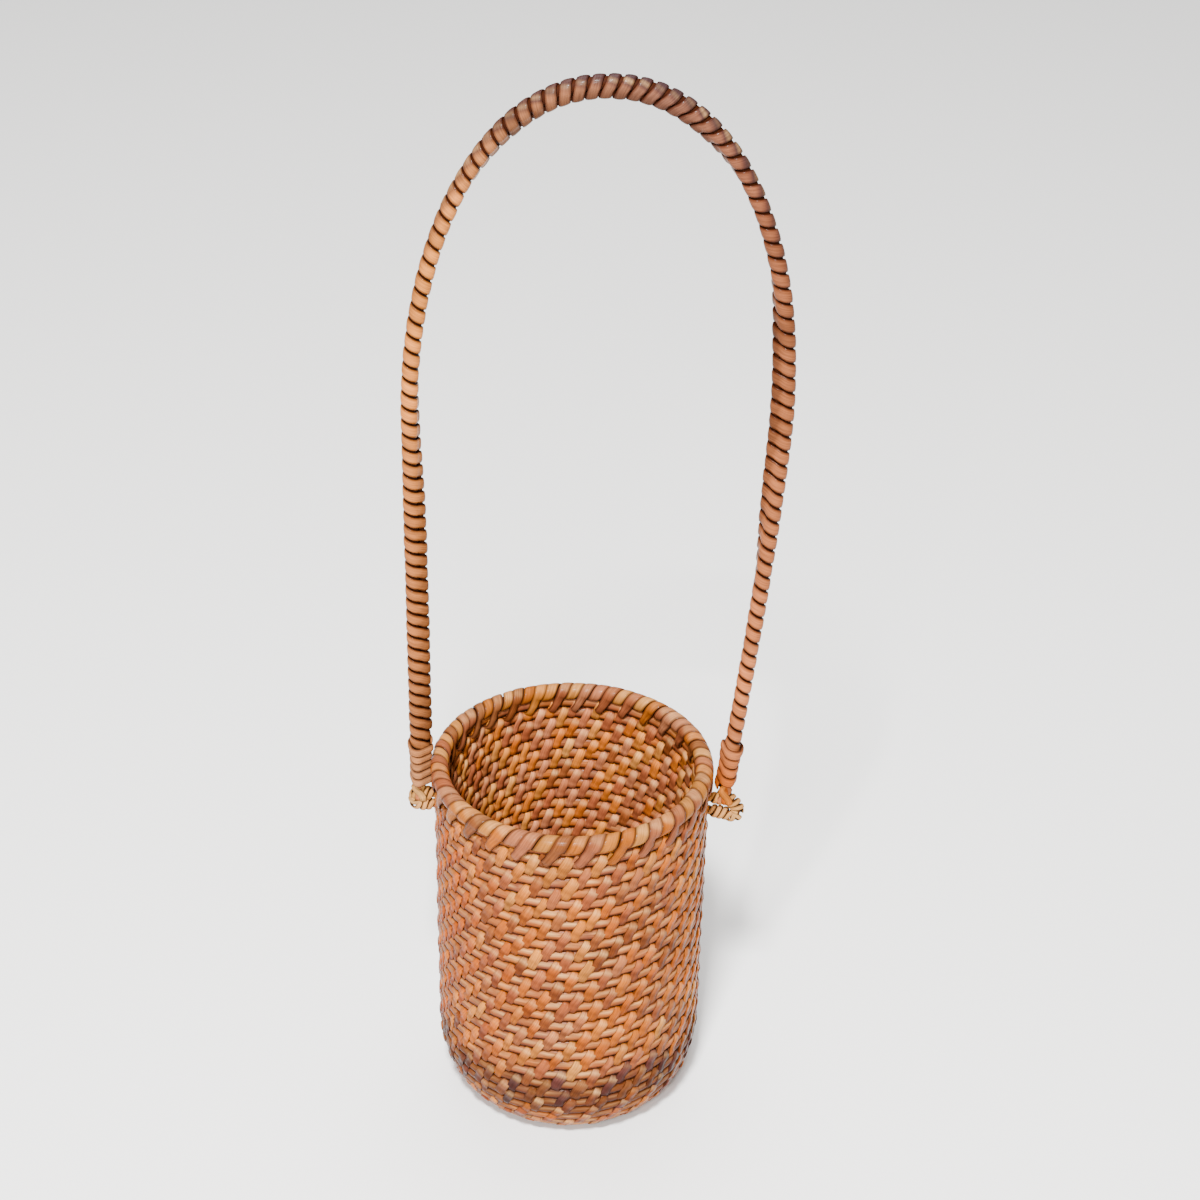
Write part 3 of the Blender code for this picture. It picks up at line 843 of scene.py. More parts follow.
    def stitch_stains(self, level: Array, angle: Array, inner: bool) -> Array:
        """Choose the stitches' stains.

        Outside, pink gathers at the front, straw in one low band, plum and brown in the dark
        band under it, and the left side is redder. Inside, all is painted lighter, and painted
        shade darkens the sides against the back.

        Args:
            level: The height of each stitch.
            angle: Its angle round the basket.
            inner: True for the stitches inside.

        Returns:
            Linear colours, stitches by three.
        """
        count = len(level)
        if inner:
            stains = stain_from((ORANGE, TAN, PINK, BROWN), np.tile(INNER_MIX, (count, 1)), self.rng)
            tone = self.inner_light_and_shade[0] - self.inner_light_and_shade[1] * np.cos(angle) ** 2
            return stains * tone[:, None] * np.array(self.inner_tint)
        share = level / self.outline.height[-1]
        dark, front = self.darkness(level), near_side(angle, FRONT, self.pink_spread)
        begin, fade = self.upper_from
        mix = np.stack([np.ones(count), front, smooth((share - begin) / fade),
                        bell(share, *self.straw_band), dark, dark * front], 1) @ STITCH_MIX
        stains = stain_from((ORANGE, TAN, PINK, BROWN, PLUM), mix, self.rng)
        left = near_side(angle, LEFT, self.red_spread)
        redder = 1 - left[:, None] * np.array(self.left_shade)
        return stains * redder * (1 - self.band_shade * dark)[:, None]

    def build(self) -> None:
        """Make the cores and stitches of the base and the wall, and hide their CAD solids."""
        edge = self.heart + self.base_turns
        top = self.turns + self.core_top_reach / self.pitch
        for word, outside, core_reach, stitch_reach in (
                ("base", "under", (self.core_start, edge), (0, edge)),
                ("wall", "outside", (edge, top), (edge, self.turns - 0.05))):
            node = f"{word}_coil"
            seat(self.core(f"{word}_core_cane", *core_reach), CORE, "basket", node)
            for face, inner in ((outside, False), ("inside", True)):
                piece = self.stitches(f"{word}_stitches_{face}", inner, *stitch_reach)
                seat(piece, PEEL, "basket", node)


@dataclass
class Rim:
    """The bound rim: brown strips that catch the row below, and tan ones between them."""

    outline: Outline
    rng: Chance
    pairs: int = 30
    crowding: float = 0.10
    under_radius: float = 2.85 * MM
    peel: float = 1.0 * MM
    long_lift: float = 0.05 * MM
    long_reach: tuple[float, float] = (math.radians(-28), math.radians(208))
    slant_share: float = 0.42
    cover_share: float = 0.462
    row: float = 5.14 * MM

    # The long strips' way down over the wall's top row: shares of the row, and depths in the wall
    tail_shares: Shares = (1.03, 0.95, 0.80, 0.52, 0.25, 0.02)
    tail_depths: Shares = (2.6, 1.2, 0.18, -0.28, -0.35, -0.40)
    tail_fade: float = 2 * MM
    tail_taper: float = 0.28

    # How much a strip's place, width and thickness vary, its tint, and its wear and painted
    # highlight where it faces up
    uneven: Triple = (0.015, 0.04, 0.06)
    tint: Triple = (0.80, 0.92, 1.18)
    wear_highlight: WearHighlight = WearHighlight(0.0, 0.30, 0.85, 0.25)

    def middles(self, lead: float) -> Array:
        """Give the strips' angles round the rim, a lead of a spacing on from the first.

        Args:
            lead: The lead, as a share of the spacing.

        Returns:
            One angle for each strip.
        """
        angle = np.linspace(0, TURN, 2001)
        swing = np.sin(angle - CROWDED_SIDE) + np.sin(CROWDED_SIDE)
        count = self.pairs / TURN * (angle + self.crowding * swing)
        return np.interp(np.arange(self.pairs) + lead, count, angle)

    def ring(self) -> tuple[float, float]:
        """Give the radius and height of the middle of the rim's cane, from the frame."""
        low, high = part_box("rim_cane")
        return high.x - (high.z - low.z) / 2, (high.z + low.z) / 2

    def over(self, turn: Array) -> Array:
        """Give the places on the rim's cane at angles round it.

        Args:
            turn: The angles, from level outward.

        Returns:
            Radius, height and outward direction as four rows.
        """
        ring, level = self.ring()
        out_r, out_z = np.cos(turn), np.sin(turn)
        return np.stack([ring + self.under_radius * out_r, level + self.under_radius * out_z,
                         out_r, out_z])

    def short_profile(self) -> tuple[Array, Array]:
        """Give a closed-up turn round the rim, and the travel along the rim on its way.

        The angle round the rim's cane runs from straight down, up outside, over the top and
        down inside, back to straight down.

        Returns:
            Radius, height and outward direction as four rows, and the travel.
        """
        turn = np.linspace(-math.pi / 2, 1.5 * math.pi, 25)
        return self.over(turn), (turn - math.pi / 2) / TURN

    def long_profile(self) -> tuple[Array, Array]:
        """Give a long turn that also runs over the wall's top row, outside and inside.

        The inside is the outside's mirror image about the middle of the wall.

        Returns:
            Radius, height and outward direction as four rows, and the travel.
        """
        below = np.array(self.tail_shares) * self.row
        tail = np.stack(self.outline.place(self.outline.length - below,
                                           np.array(self.tail_depths) * MM))
        middle = self.outline.radius[-1] - self.outline.half_wall
        inside = tail[:, ::-1] * np.array([-1, 1, -1, 1])[:, None]
        inside[0] += 2 * middle
        turn = np.linspace(*self.long_reach, 17)
        profile = np.concatenate([tail, self.over(turn), inside], axis=1)
        travel = arc_of(profile[:2].T)
        return profile, (travel - travel.mean()) / (TURN * self.under_radius)

    def strips(self, name: str, profile: tuple[Array, Array], lead: float,
               families: tuple[Family, ...], weights: Shares,
               extra: float) -> Piece:
        """Wind one kind of strip at its places round the rim.

        Args:
            name: The piece's name.
            profile: Radius, height and outward direction along one strip, and its travel.
            lead: How far along the spacing the strips lie, from 0 to 1.
            families: The families of stains.
            weights: The weight of each family.
            extra: How much higher these strips lie.

        Returns:
            The piece.
        """
        (radius, height, out_r, out_z), travel = profile
        ring, level = self.ring()
        middles = self.middles(lead)[:, None]
        spacing = TURN * ring / self.pairs / (1 + self.crowding * np.cos(middles - CROWDED_SIDE))
        jitter = self.rng.normal(size=(3, self.pairs, 1)) * np.array(self.uneven)[:, None, None]
        angle = middles + spacing * (2 * self.slant_share * travel + jitter[0]) / ring
        tail = np.clip((level - self.under_radius - height) / self.tail_fade, 0, 1)
        width = spacing * self.cover_share * radius / ring * (1 - self.tail_taper * tail)
        stain = stain_from(families, np.tile(weights, (self.pairs, 1)), self.rng)
        # The rubbed streak where a strip faces up is also painted highlight.
        worn_highlight = self.wear_highlight.draw(self.rng, self.pairs)[:, None] * self.wear_highlight.streak(out_z)
        low = smooth(tail * 1.2 - 0.4)[:, None]
        return Strips(around(radius, height, angle), around(out_r, out_z, angle),
                      width * (1 + jitter[1]), (self.peel + extra) * (1 + jitter[2]), PEEL_SECTION,
                      rub_highlight((stain * np.array(self.tint))[:, None], worn_highlight[:, :, None]),
                      np.maximum(PEEL_EDGE, 0.25 * low)).build(name)

    def build(self) -> None:
        """Make both kinds of strip and dress the cane under them."""
        long_ones = self.strips("rim_long_stitches", self.long_profile(), 0.0,
                                (PINK, BROWN, ORANGE), (1.2, 0.8, 0.4), self.long_lift)
        short_ones = self.strips("rim_short_stitches", self.short_profile(), 0.5,
                                 (TAN, ORANGE, PINK), (1.0, 0.8, 0.5), 0.0)
        seat(long_ones, PEEL, "basket", "rim_sewing_strip")
        seat(short_ones, PEEL, "basket", "rim_wrapping_strip")
        HIDDEN.dress(frame["nodes"]["rim_cane"])


@dataclass
class Route:
    """A dense run of points with a side direction at each, read by distance along it."""

    points: Array
    sides: Array
    arc: Array = field(init=False)

    def __post_init__(self) -> None:
        """Measure the distance along the run."""
        self.arc = arc_of(self.points)

    @property
    def length(self) -> float:
        """Give the run's whole length."""
        return float(self.arc[-1])

    def read(self, distance: Array) -> tuple[Array, Array, Array]:
        """Give the point, the side direction and the direction square to both at distances.

        Args:
            distance: The distances along the run.

        Returns:
            Three tables, distances by three.
        """
        alongs = unit(np.gradient(self.points, axis=0))
        point, side, along = (columns(distance, self.arc, table)
                              for table in (self.points, self.sides, alongs))
        along = unit(along)
        side = unit(side - along * (side * along).sum(-1, keepdims=True))
        return point, side, np.cross(along, side)


@dataclass
class Bundle:
    """The outline of round canes tied side by side: the tight loop round their circles.

    Where the loop runs straight from one circle to the next, it is pressed in towards them by
    a share of the space that it leaves.

    Attributes:
        circles: Each cane's two offsets and its radius.
        lift: How far the loop stands off the canes.
        waist: The share of the space that the loop is pressed in by.
    """

    circles: tuple[Triple, ...]
    lift: float = 0.0
    waist: float = 0.0
    shares: Array = field(init=False)
    table: Array = field(init=False)

    def __post_init__(self) -> None:
        """Find the loop: for each direction, the point of the circle that reaches furthest."""
        angle = np.linspace(0, TURN, 1441)
        out = np.stack([np.cos(angle), np.sin(angle)], -1)
        discs = np.array(self.circles)
        best = discs[(out @ discs[:, :2].T + discs[:, 2]).argmax(axis=1)]
        loop = best[:, :2] + out * (best[:, 2:] + self.lift)
        arc = arc_of(loop)
        self.shares = np.linspace(0, 1, 361)
        loop, out = (columns(self.shares, arc / arc[-1], table) for table in (loop, out))
        away = np.linalg.norm(loop[:, None] - discs[:, :2], axis=2) - discs[:, 2] - self.lift
        loop = loop - unit(out) * (self.waist * away.min(axis=1))[:, None]
        self.table = np.column_stack([loop, unit(out)])

    def read(self, share: Array) -> Array:
        """Give the loop's two offsets and the outward direction's two parts at a share."""
        return columns(np.mod(share, 1), self.shares, self.table).T


@dataclass
class Winding:
    """Peel wound left-handed round a bundle that follows a route, as one strip or as several.

    A station lies at its distance along the route, at the point of the bundle's loop that its
    turn gives, lifted by the climb. Widths, stains and climbs are tables at the distances.

    Attributes:
        route: The route of the bundle's first cane.
        bundle: What is bound.
        distances: The distances along the route at which the tables are given.
        turns: The turns made up to each distance.
        width: The strip's width at each distance.
        peel: The strip's thickness.
        stains: The strip's colour at each distance.
        climb: How far the strip stands off the bundle at each distance.
        starts: The share of a turn at which each strip starts.
        steps: The stations for each turn.
        uneven: How much thickness and tone change from turn to turn, as shares.
        thickness_limits: The least and the most that the thickness changes to, as shares.
        far_shade: The painted shade on the peel on the side of the second cane, as a tone.
        squeeze: The share of the loop's reach over the second cane at each distance, or none.
        skew: How far a turn runs ahead on its way across the front, which steepens it there.
        painted_shade: The share of dark painted shade on top at each distance, or none.
        painted_shade_from: How far a turn faces up where the painted shade begins, and its fade.
        wear_highlight: Painted highlight along the painted shade's edge, by how far it faces up.
    """

    route: Route
    bundle: Bundle
    distances: Array
    turns: Array
    width: Array
    peel: float
    stains: Array
    climb: Array
    starts: Shares = (0.0,)
    steps: int = 20
    uneven: tuple[float, float] = (0.10, 0.12)
    thickness_limits: tuple[float, float] = (0.75, 1.3)
    far_shade: float = 1.0
    squeeze: Array | None = None
    skew: float = 0.0
    painted_shade: Array | None = None
    painted_shade_from: tuple[float, float] = (-0.20, 0.45)
    wear_highlight: WearHighlight = WearHighlight(0.0, 0.45, 0.45, 0.12)

    def build(self, name: str, rng: Chance, first: float = 0.0,
              last: float = math.inf) -> Piece:
        """Wind the strips between two turns.

        Args:
            name: The piece's name.
            rng: The source of chance.
            first: The turn they begin at.
            last: The turn they end at, or the last one made.

        Returns:
            The piece.
        """
        last = min(last, float(self.turns[-1]))
        turn = np.linspace(first, last, int((last - first) * self.steps) + 1)
        distance = np.interp(turn, self.turns, self.distances)
        _, side, over = self.route.read(distance)
        front = np.arctan2(-over[:, 1], -side[:, 1])
        ahead = self.skew * np.sin(front + TURN * (turn - self.starts[0]))
        point, side, over = self.route.read(distance + ahead)
        whole = np.arange(math.ceil(last) + 2)
        heights, tones = (np.interp(turn, whole, 1 + part * rng.normal(size=len(whole)))
                          for part in self.uneven)
        colour = columns(distance, self.distances, self.stains)
        wide, climb = (np.interp(distance, self.distances, t) for t in (self.width, self.climb))
        reach = self.bundle.circles[0][2]
        paths, normals, stains = [], [], []
        for start in self.starts:
            first_part, second_part, out_first, out_second = self.bundle.read(start - turn)
            if self.squeeze is not None:
                kept = np.interp(distance, self.distances, self.squeeze)
                first_part = np.where(first_part > 0, first_part * kept, first_part)
            normal = side * out_first[:, None] + over * out_second[:, None]
            path = point + side * first_part[:, None] + over * second_part[:, None]
            # Peel on the second cane's side is darkened as painted shade.
            far = smooth((first_part - 0.5 * reach) / reach)
            stain = colour * (tones * (1 + (self.far_shade - 1) * far))[:, None]
            # Painted shade darkens the turns on the side that faces up and a little to the back.
            if self.painted_shade is not None:
                kept = np.interp(distance, self.distances, self.painted_shade)
                facing = normal @ CROWN_SHADE_SIDE
                begin, fade = self.painted_shade_from
                top = (kept * smooth((facing - begin) / fade))[:, None]
                stain = stain * (1 - top) + linear_rgb(CROWN_SHADE) * top
                # A painted highlight, as a rubbed streak, runs along the edge of the painted shade.
                worn_highlight = np.interp(turn, whole, self.wear_highlight.draw(rng, len(whole)))
                stain = rub_highlight(stain, (worn_highlight * kept * self.wear_highlight.streak(facing))[:, None])
            paths.append(path + normal * climb[:, None])
            normals.append(normal)
            stains.append(stain)
        return Strips(np.array(paths), np.array(normals), wide,
                      self.peel * np.clip(heights, *self.thickness_limits), PEEL_SECTION,
                      np.array(stains), PEEL_EDGE).build(name)


@dataclass(frozen=True)
class Foot:
    """A foot of the handle: its side, its lashing's rise and colours, and its bands' colours."""

    word: str
    side: int
    pitch: float
    lashing: Family
    bands: Family


@dataclass
class Handle:
    """The tall hoop handle: a main cane and a filler, bound with peel and lashed at its feet."""

    rng: Chance

    # The hoop
    reach: float = 321.2 * MM
    leg_offset: float = 65.7 * MM
    left_bulge: float = 0.5 * MM
    right_bulge: float = 16.0 * MM
    spring_rise: float = 183.5 * MM
    crown_lean: float = 3.0 * MM
    foot_rise: float = 7.4 * MM
    arch_exponent: float = 2.13
    leg_exponent: float = 1.3
    stations: int = 900

    # The canes, which are pressed together, and the filler's course
    main_radius: float = 2.4 * MM
    filler_radius: float = 1.45 * MM
    pressed: float = 0.05 * MM
    shaved_length: float = 8.0 * MM
    shaved_share: float = 0.70
    change_shares: Shares = (0.09, 0.33, 0.52, 0.63, 0.74, 0.88)
    # The canes' stain is darkened to this share as painted shade in the binding's gaps.
    cane_shade: float = 0.20
    cane_recess: float = 0.60

    # The binding, with its tables along the hoop
    pitch_shares: Shares = (0.0, 0.2, 0.35, 0.5, 0.65, 1.0)
    pitches: Shares = (5.6 * MM, 5.8 * MM, 6.6 * MM, 5.6 * MM, 6.5 * MM, 6.3 * MM)
    stain_shares: Shares = (0.04, 0.16, 0.34, 0.44, 0.53, 0.62, 0.72, 0.92)
    stain_codes: Family = ("#90552C", "#A2602F", "#C57730", "#7E4E30", "#664030", "#704028",
                           "#7C4728", "#AB6338")
    # Painted shade on the top of the crown, by share along the hoop.
    painted_shade_shares: Shares = (0.26, 0.38, 0.50, 0.60, 0.70)
    painted_shade: Shares = (0.0, 0.7, 0.9, 0.85, 0.0)
    skew: float = 0.55 * MM
    gap: float = 1.25 * MM
    peel: float = 0.74 * MM
    lift: float = 0.35 * MM
    waist: float = 0.55
    # Painted shade on the peel over the filler, as a tone.
    far_shade: float = 0.55

    # The lashings: from where to how far past the binding's end, how much of the pitch a strip
    # covers, how far the left and the right one stand off, and their climb onto the binding
    lashing_length: float = 19.9 * MM
    lashing_start: float = 0.4 * MM
    lashing_over: float = 0.6 * MM
    lashing_peel: float = 1.0 * MM
    lashing_cover: float = 0.94
    lashing_lifts: tuple[float, float] = (0.4 * MM, 1.2 * MM)
    lashing_climb: float = 0.55 * MM
    climb_start: float = 6 * MM
    climb_run: float = 3 * MM
    end_share: float = 0.6

    # The hangers, and how far the binding runs on under the lashings
    overlap: float = 2.0 * MM
    hanger_radius: float = 1.2 * MM
    hanger_peel: float = 0.8 * MM
    seat_gap: float = 0.3 * MM

    # A hanger's bands: each one's offset, radius and width in millimetres, and how its tails
    # keep their place, from -1 where they cross over to 1
    bands: tuple[Shares, ...] = ((-1.9, 2.25, 3.2, -1.0), (1.9, 3.05, 3.2, -1.0),
                                 (0.0, 2.65, 3.0, 1.0))
    band_rise: Shares = (14.0, 11.0, 9.0, 7.2, 5.6, 4.2, 2.9, 1.5)
    band_lean: Shares = (1.0, 1.0, 1.0, 0.95, 0.75, 0.5, 0.25, 0.08)
    feet: tuple[Foot, ...] = (
        Foot("left", -1, 4.0 * MM, ("#A87048", "#9C6238"), (STRAW[1], STRAW[0], PINK[2])),
        Foot("right", 1, 4.9 * MM, (PINK[2], ORANGE[1]), (PINK[2], TAN[1], ORANGE[1])))

    @property
    def apart(self) -> float:
        """Give the distance between the middles of the two canes."""
        return self.main_radius + self.filler_radius - self.pressed

    def shaved(self, distance: Array, whole: float) -> Array:
        """Give the filler's radius at distances along the hoop: shaved thin towards its ends.

        Args:
            distance: The distances.
            whole: The hoop's whole length.

        Returns:
            The radius at each distance.
        """
        end = np.minimum(distance, whole - distance) - self.lashing_length
        share = self.shaved_share + (1 - self.shaved_share) * smooth(end / self.shaved_length)
        return self.filler_radius * share

    def centre_line(self) -> Array:
        """Give the main cane's middle, from the left foot over the crown to the right foot.

        Each leg bows outward as it rises by one minus a power of the height left. The arch is
        a superellipse over both legs, and leans to the right with its rise.

        Returns:
            Points at even distances.
        """
        foot, spring, crown = (pivot_height() + rise
                               for rise in (self.foot_rise, self.spring_rise, self.reach))
        left, right = self.leg_offset + self.left_bulge, self.leg_offset + self.right_bulge
        rise = np.linspace(0, 1, self.stations)[:-1]
        curve = 1 - (1 - rise) ** self.leg_exponent
        leg_z = foot + (spring - foot) * rise
        turn = np.linspace(math.pi, 0, 2 * self.stations)
        power = 2 / self.arch_exponent
        swell = np.abs(np.sin(turn)) ** power
        arch_x = (right - left) / 2 + self.crown_lean * swell
        arch_x += (right + left) / 2 * np.sign(np.cos(turn)) * np.abs(np.cos(turn)) ** power
        x = np.concatenate([-self.leg_offset - self.left_bulge * curve, arch_x,
                            (self.leg_offset + self.right_bulge * curve)[::-1]])
        z = np.concatenate([leg_z, spring + (crown - spring) * swell, leg_z[::-1]])
        return even_run(np.stack([x, np.zeros(len(x)), z], axis=1), self.stations)

    def routes(self) -> tuple[Route, Route]:
        """Give the hoop with its side direction inward, and with it towards the filler.

        The filler swings between inside and behind, by a quarter turn from one change of
        course to the next, eased as a cosine.

        Returns:
            The two routes.
        """
        points = self.centre_line()
        behind = np.array([0.0, 1.0, 0.0])
        inside = unit(np.cross(behind, unit(np.gradient(points, axis=0))))
        plain = Route(points, inside)
        changes = np.interp(plain.arc / plain.length, self.change_shares,
                            range(len(self.change_shares)))
        turn = math.pi / 4 * (1 - np.cos(math.pi * changes))
        return plain, Route(points, np.cos(turn)[:, None] * inside + np.sin(turn)[:, None] * behind)

    def cane(self, name: str, points: Array, normals: Array, radius: Array) -> Piece:
        """Make a round cane along points, with its radius at each of them.

        Args:
            name: The piece's name.
            points: The cane's middle line.
            normals: A direction to one side at each point.
            radius: The radius, for all points or at each.

        Returns:
            The piece.
        """
        size = 2.06 * np.array(radius)
        # The cane is painted dark, as shade in the binding's gaps.
        tone = (linear_rgb(BROWN[1]) * self.cane_shade)[None, None]
        return Strips(points[None], normals[None], size, size, round_section(12), tone,
                      self.cane_recess).build(name)

    def binding(self, route: Route, low: float, high: float) -> Winding:
        """Plan the binding of both canes between two distances along the hoop.

        Args:
            route: The hoop, with its side direction towards the filler.
            low: The distance at which the binding begins.
            high: The distance at which it ends.

        Returns:
            The winding.
        """
        bundle = Bundle(((0.0, 0.0, self.main_radius), (self.apart, 0.0, self.filler_radius)),
                        self.lift, self.waist)
        distances = np.linspace(low, high, 400)
        share = distances / route.length
        pitch = np.interp(share, self.pitch_shares, self.pitches)
        rate = 1 / pitch
        turns = running_sum(np.diff(distances) * (rate[1:] + rate[:-1]) / 2)
        loss = 2 * (self.filler_radius - self.shaved(distances, route.length))
        return Winding(route, bundle, distances, turns, pitch - self.gap, self.peel,
                       blend_codes(self.stain_codes, self.stain_shares, share), 0 * pitch,
                       far_shade=self.far_shade, squeeze=1 - loss / (self.apart + self.filler_radius),
                       skew=self.skew, painted_shade=np.interp(share, self.painted_shade_shares, self.painted_shade))

    def lashing(self, route: Route, foot: Foot) -> Winding:
        """Plan a foot's lashing, over the leg and its hanger's tails, up onto the binding.

        The left one also takes in the filler's shaved end.

        Args:
            route: The hoop, with its side direction inward.
            foot: The foot.

        Returns:
            The winding.
        """
        tail = self.main_radius + self.seat_gap + self.hanger_radius
        circles = ((0.0, 0.0, self.main_radius), (0.0, tail, self.hanger_radius),
                   (0.0, -tail, self.hanger_radius))
        up = np.linspace(self.lashing_start, self.lashing_length + self.lashing_over, 60)
        distances, lift = route.length - up[::-1], self.lashing_lifts[1]
        if foot.side < 0:
            circles = (*circles, (self.apart, 0.0, self.end_share * self.filler_radius))
            distances, lift = up, self.lashing_lifts[0]
        low, high = distances[0], distances[-1]
        from_end = np.minimum(distances, route.length - distances)
        begin = from_end - self.lashing_length + self.climb_start
        climb = self.lashing_climb * smooth(begin / self.climb_run)
        return Winding(route, Bundle(circles, lift), distances, (distances - low) / foot.pitch,
                       np.full(60, self.lashing_cover * foot.pitch), self.lashing_peel,
                       blend_codes(foot.lashing, (low, high), distances), climb, steps=40)

    def hanger(self, foot: Foot, leg: Array) -> Piece:
        """Hang a foot on its link: three bands of peel, down one face of the leg and up the other.

        Each band is a half circle round the link under two tails that spread to the faces of
        the leg. Two of them cross on both faces, and the third lies between them.

        Args:
            foot: The foot.
            leg: The leg's middle line, from its foot up.

        Returns:
            The piece.
        """
        offset, radius, width, cross = np.array(self.bands).T[:, :, None]
        offset, radius, width = offset * MM, radius * MM, width * MM
        turn = np.linspace(0, math.pi, 15)
        rise = np.array(self.band_rise)[None].repeat(len(radius), 0) * MM
        flat = self.main_radius + self.seat_gap + 0.6 * (radius - radius[0])
        out = radius + (flat - radius) * np.array(self.band_lean)
        y = np.concatenate([-out, -radius * np.cos(turn), out[:, ::-1]], axis=1)
        z = np.concatenate([rise, -radius * np.sin(turn), rise[:, ::-1]], axis=1)
        spread = 1 - (1 - cross) * smooth((z + 1 * MM) / (7.5 * MM))
        spread = spread * (1 - 0.75 * smooth((z - 5 * MM) / (4 * MM)))
        level = z + pivot_height()
        x = foot.side * np.interp(level, leg[:, 2], np.abs(leg[:, 0])) + offset * spread
        below = np.pad(turn, len(self.band_rise), constant_values=(0, math.pi))
        normals = np.stack([0 * below, -np.cos(below), -np.sin(below)], 1)
        stains = np.array([linear_rgb(code) for code in foot.bands])[:, None]
        stains = stains * (1 + 0.1 * self.rng.normal(size=(*z.shape, 1)))
        narrow = 1 - 0.35 * smooth((z - 4 * MM) / (5 * MM))
        return Strips(np.stack([x, y, level], -1), np.broadcast_to(normals, (*z.shape, 3)),
                      width * narrow, self.hanger_peel, PEEL_SECTION, stains,
                      BAND_EDGE).build(f"{foot.word}_hanger")

    def build(self) -> None:
        """Make the canes, bindings, lashings and hangers of the handle."""
        plain, route = self.routes()
        main = self.cane("main_cane", plain.points[2:-2], plain.sides[2:-2], self.main_radius)
        seat(main, WORN, "handle", "handle_main_cane")
        low, high = self.lashing_length, plain.length - self.lashing_length
        distance = np.linspace(low, high, 700)
        point, side, _ = route.read(distance)
        thin = self.shaved(distance, plain.length)
        offset = (self.apart - self.filler_radius + thin)[:, None]
        filler = self.cane("filler_cane", point + side * offset, side, thin)
        seat(filler, WORN, "handle", "handle_filler_cane")
        binding = self.binding(route, low - self.overlap, high + self.overlap)
        join = math.floor(binding.turns[-1] / 2) + 0.75
        for word, reach in (("left", (0.0, join)), ("right", (join + 0.04,))):
            piece = binding.build(f"{word}_binding", self.rng, *reach)
            seat(piece, PEEL, "handle", f"{word}_handle_binding")
        for foot in self.feet:
            lashing = self.lashing(plain, foot).build(f"{foot.word}_lashing", self.rng)
            seat(lashing, PALE, "handle", f"{foot.word}_end_lashing")
            leg = plain.points[:40] if foot.side < 0 else plain.points[:-41:-1]
            seat(self.hanger(foot, leg), PALE, "handle", f"{foot.word}_hanger_loop")


@dataclass
class Link:
    """A link through the wall: a thin cane in a closed loop, laid over with twisted pale peel.

    Attributes:
        rng: The source of chance.
        word: The side's name.
        side: -1 for the left side, 1 for the right.
        outside: How far out from the axis the link reaches.
        outer_drop: The link's height at its outer end.
        inner_drop: Its height inside the wall.
        corner: The radius of its corners.
        swell: How much fuller it is outside the wall.
        droop: How much its outer end sinks.
    """

    rng: Chance
    word: str
    side: int
    outside: float
    outer_drop: float
    inner_drop: float
    corner: float
    swell: float
    droop: float
    droop_start: float = 65.0 * MM
    droop_reach: float = 7.0 * MM
    radius: float = 1.6 * MM
    wall_reach: float = 60.0 * MM
    strands: int = 2
    twist: float = 5.2 * MM
    cover: float = 0.86
    peel: float = 0.85 * MM
    cane_slack: float = 0.7 * MM
    wrap_sink: float = 0.45 * MM

    def loop(self) -> Array:
        """Give the middle line as an even closed run: a rectangle with round corners.

        Each point's depth below the swing's axis is scaled by a share that runs evenly from
        the inner drop at the inside to the outer drop at the outside.

        Returns:
            The points, with the first one again at the end.
        """
        low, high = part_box(f"{self.word}_link")
        inside = min(abs(low.x), abs(high.x)) + self.radius
        corners = ((self.outside, 1, -1), (inside, 1, 1), (inside, -1, 1), (self.outside, -1, -1))
        parts = []
        for quarter, (corner_x, up, inward) in enumerate(corners):
            turn = math.pi / 2 * (quarter + np.linspace(0, 1, 12))
            x = corner_x + self.corner * (inward + np.cos(turn))
            below = (1 - up) / 2 + self.corner * (up - np.sin(turn)) / self.outer_drop
            drop = np.interp(x, (inside, self.outside), (self.inner_drop, self.outer_drop))
            sag = self.droop * smooth((x - self.droop_start) / self.droop_reach)
            parts.append(np.stack([self.side * x, 0 * x, pivot_height() - below * drop - sag], 1))
        return even_run(np.concatenate([*parts, parts[0][:1]]), 161)

    def build(self) -> None:
        """Make the link's cane and the peel over it."""
        run = self.loop()
        forward = np.broadcast_to(np.array([0.0, 1.0, 0.0]), run.shape)
        size = np.array(2 * self.radius - self.cane_slack)
        core = Strips(run[None, :-1], forward[None, :-1], size, size, round_section(10),
                      linear_rgb(BROWN[0])[None, None], 0.5, closed=True)
        route = Route(run, forward)
        distances = np.linspace(0, route.length * 0.995, 80)
        beyond = np.abs(route.read(distances)[0][:, 0]) - self.wall_reach
        stains = blend_codes((STRAW[0], TAN[1], STRAW[2]), (0, route.length / 2, route.length),
                             distances)
        wrap = Winding(route, Bundle(((0.0, 0.0, self.radius - self.wrap_sink),)), distances,
                       distances / self.twist, np.full(80, self.twist / self.strands * self.cover),
                       self.peel, stains, self.swell * smooth(beyond / (2 * MM)),
                       tuple(k / self.strands for k in range(self.strands)), 26)
        for piece in (core.build(f"{self.word}_link_cane"),
                      wrap.build(f"{self.word}_link_wrap", self.rng)):
            seat(piece, PALE, "basket", f"{self.word}_link")


@dataclass(frozen=True)
class Lamp:
    """A square soft light that looks at a spot in the basket."""

    name: str
    spot: Triple
    size: float
    watts: float
    aim: Triple = (0.0, 0.0, 0.2)

    def hang(self) -> None:
        """Put the light into the scene."""
        data = bpy.data.lights.new(self.name, "AREA")
        data.size = self.size
        data.energy = self.watts
        item = show(self.name, data)
        item.location = self.spot
        towards = Vector(self.aim) - Vector(self.spot)
        item.rotation_euler = towards.to_track_quat("-Z", "Y").to_euler()


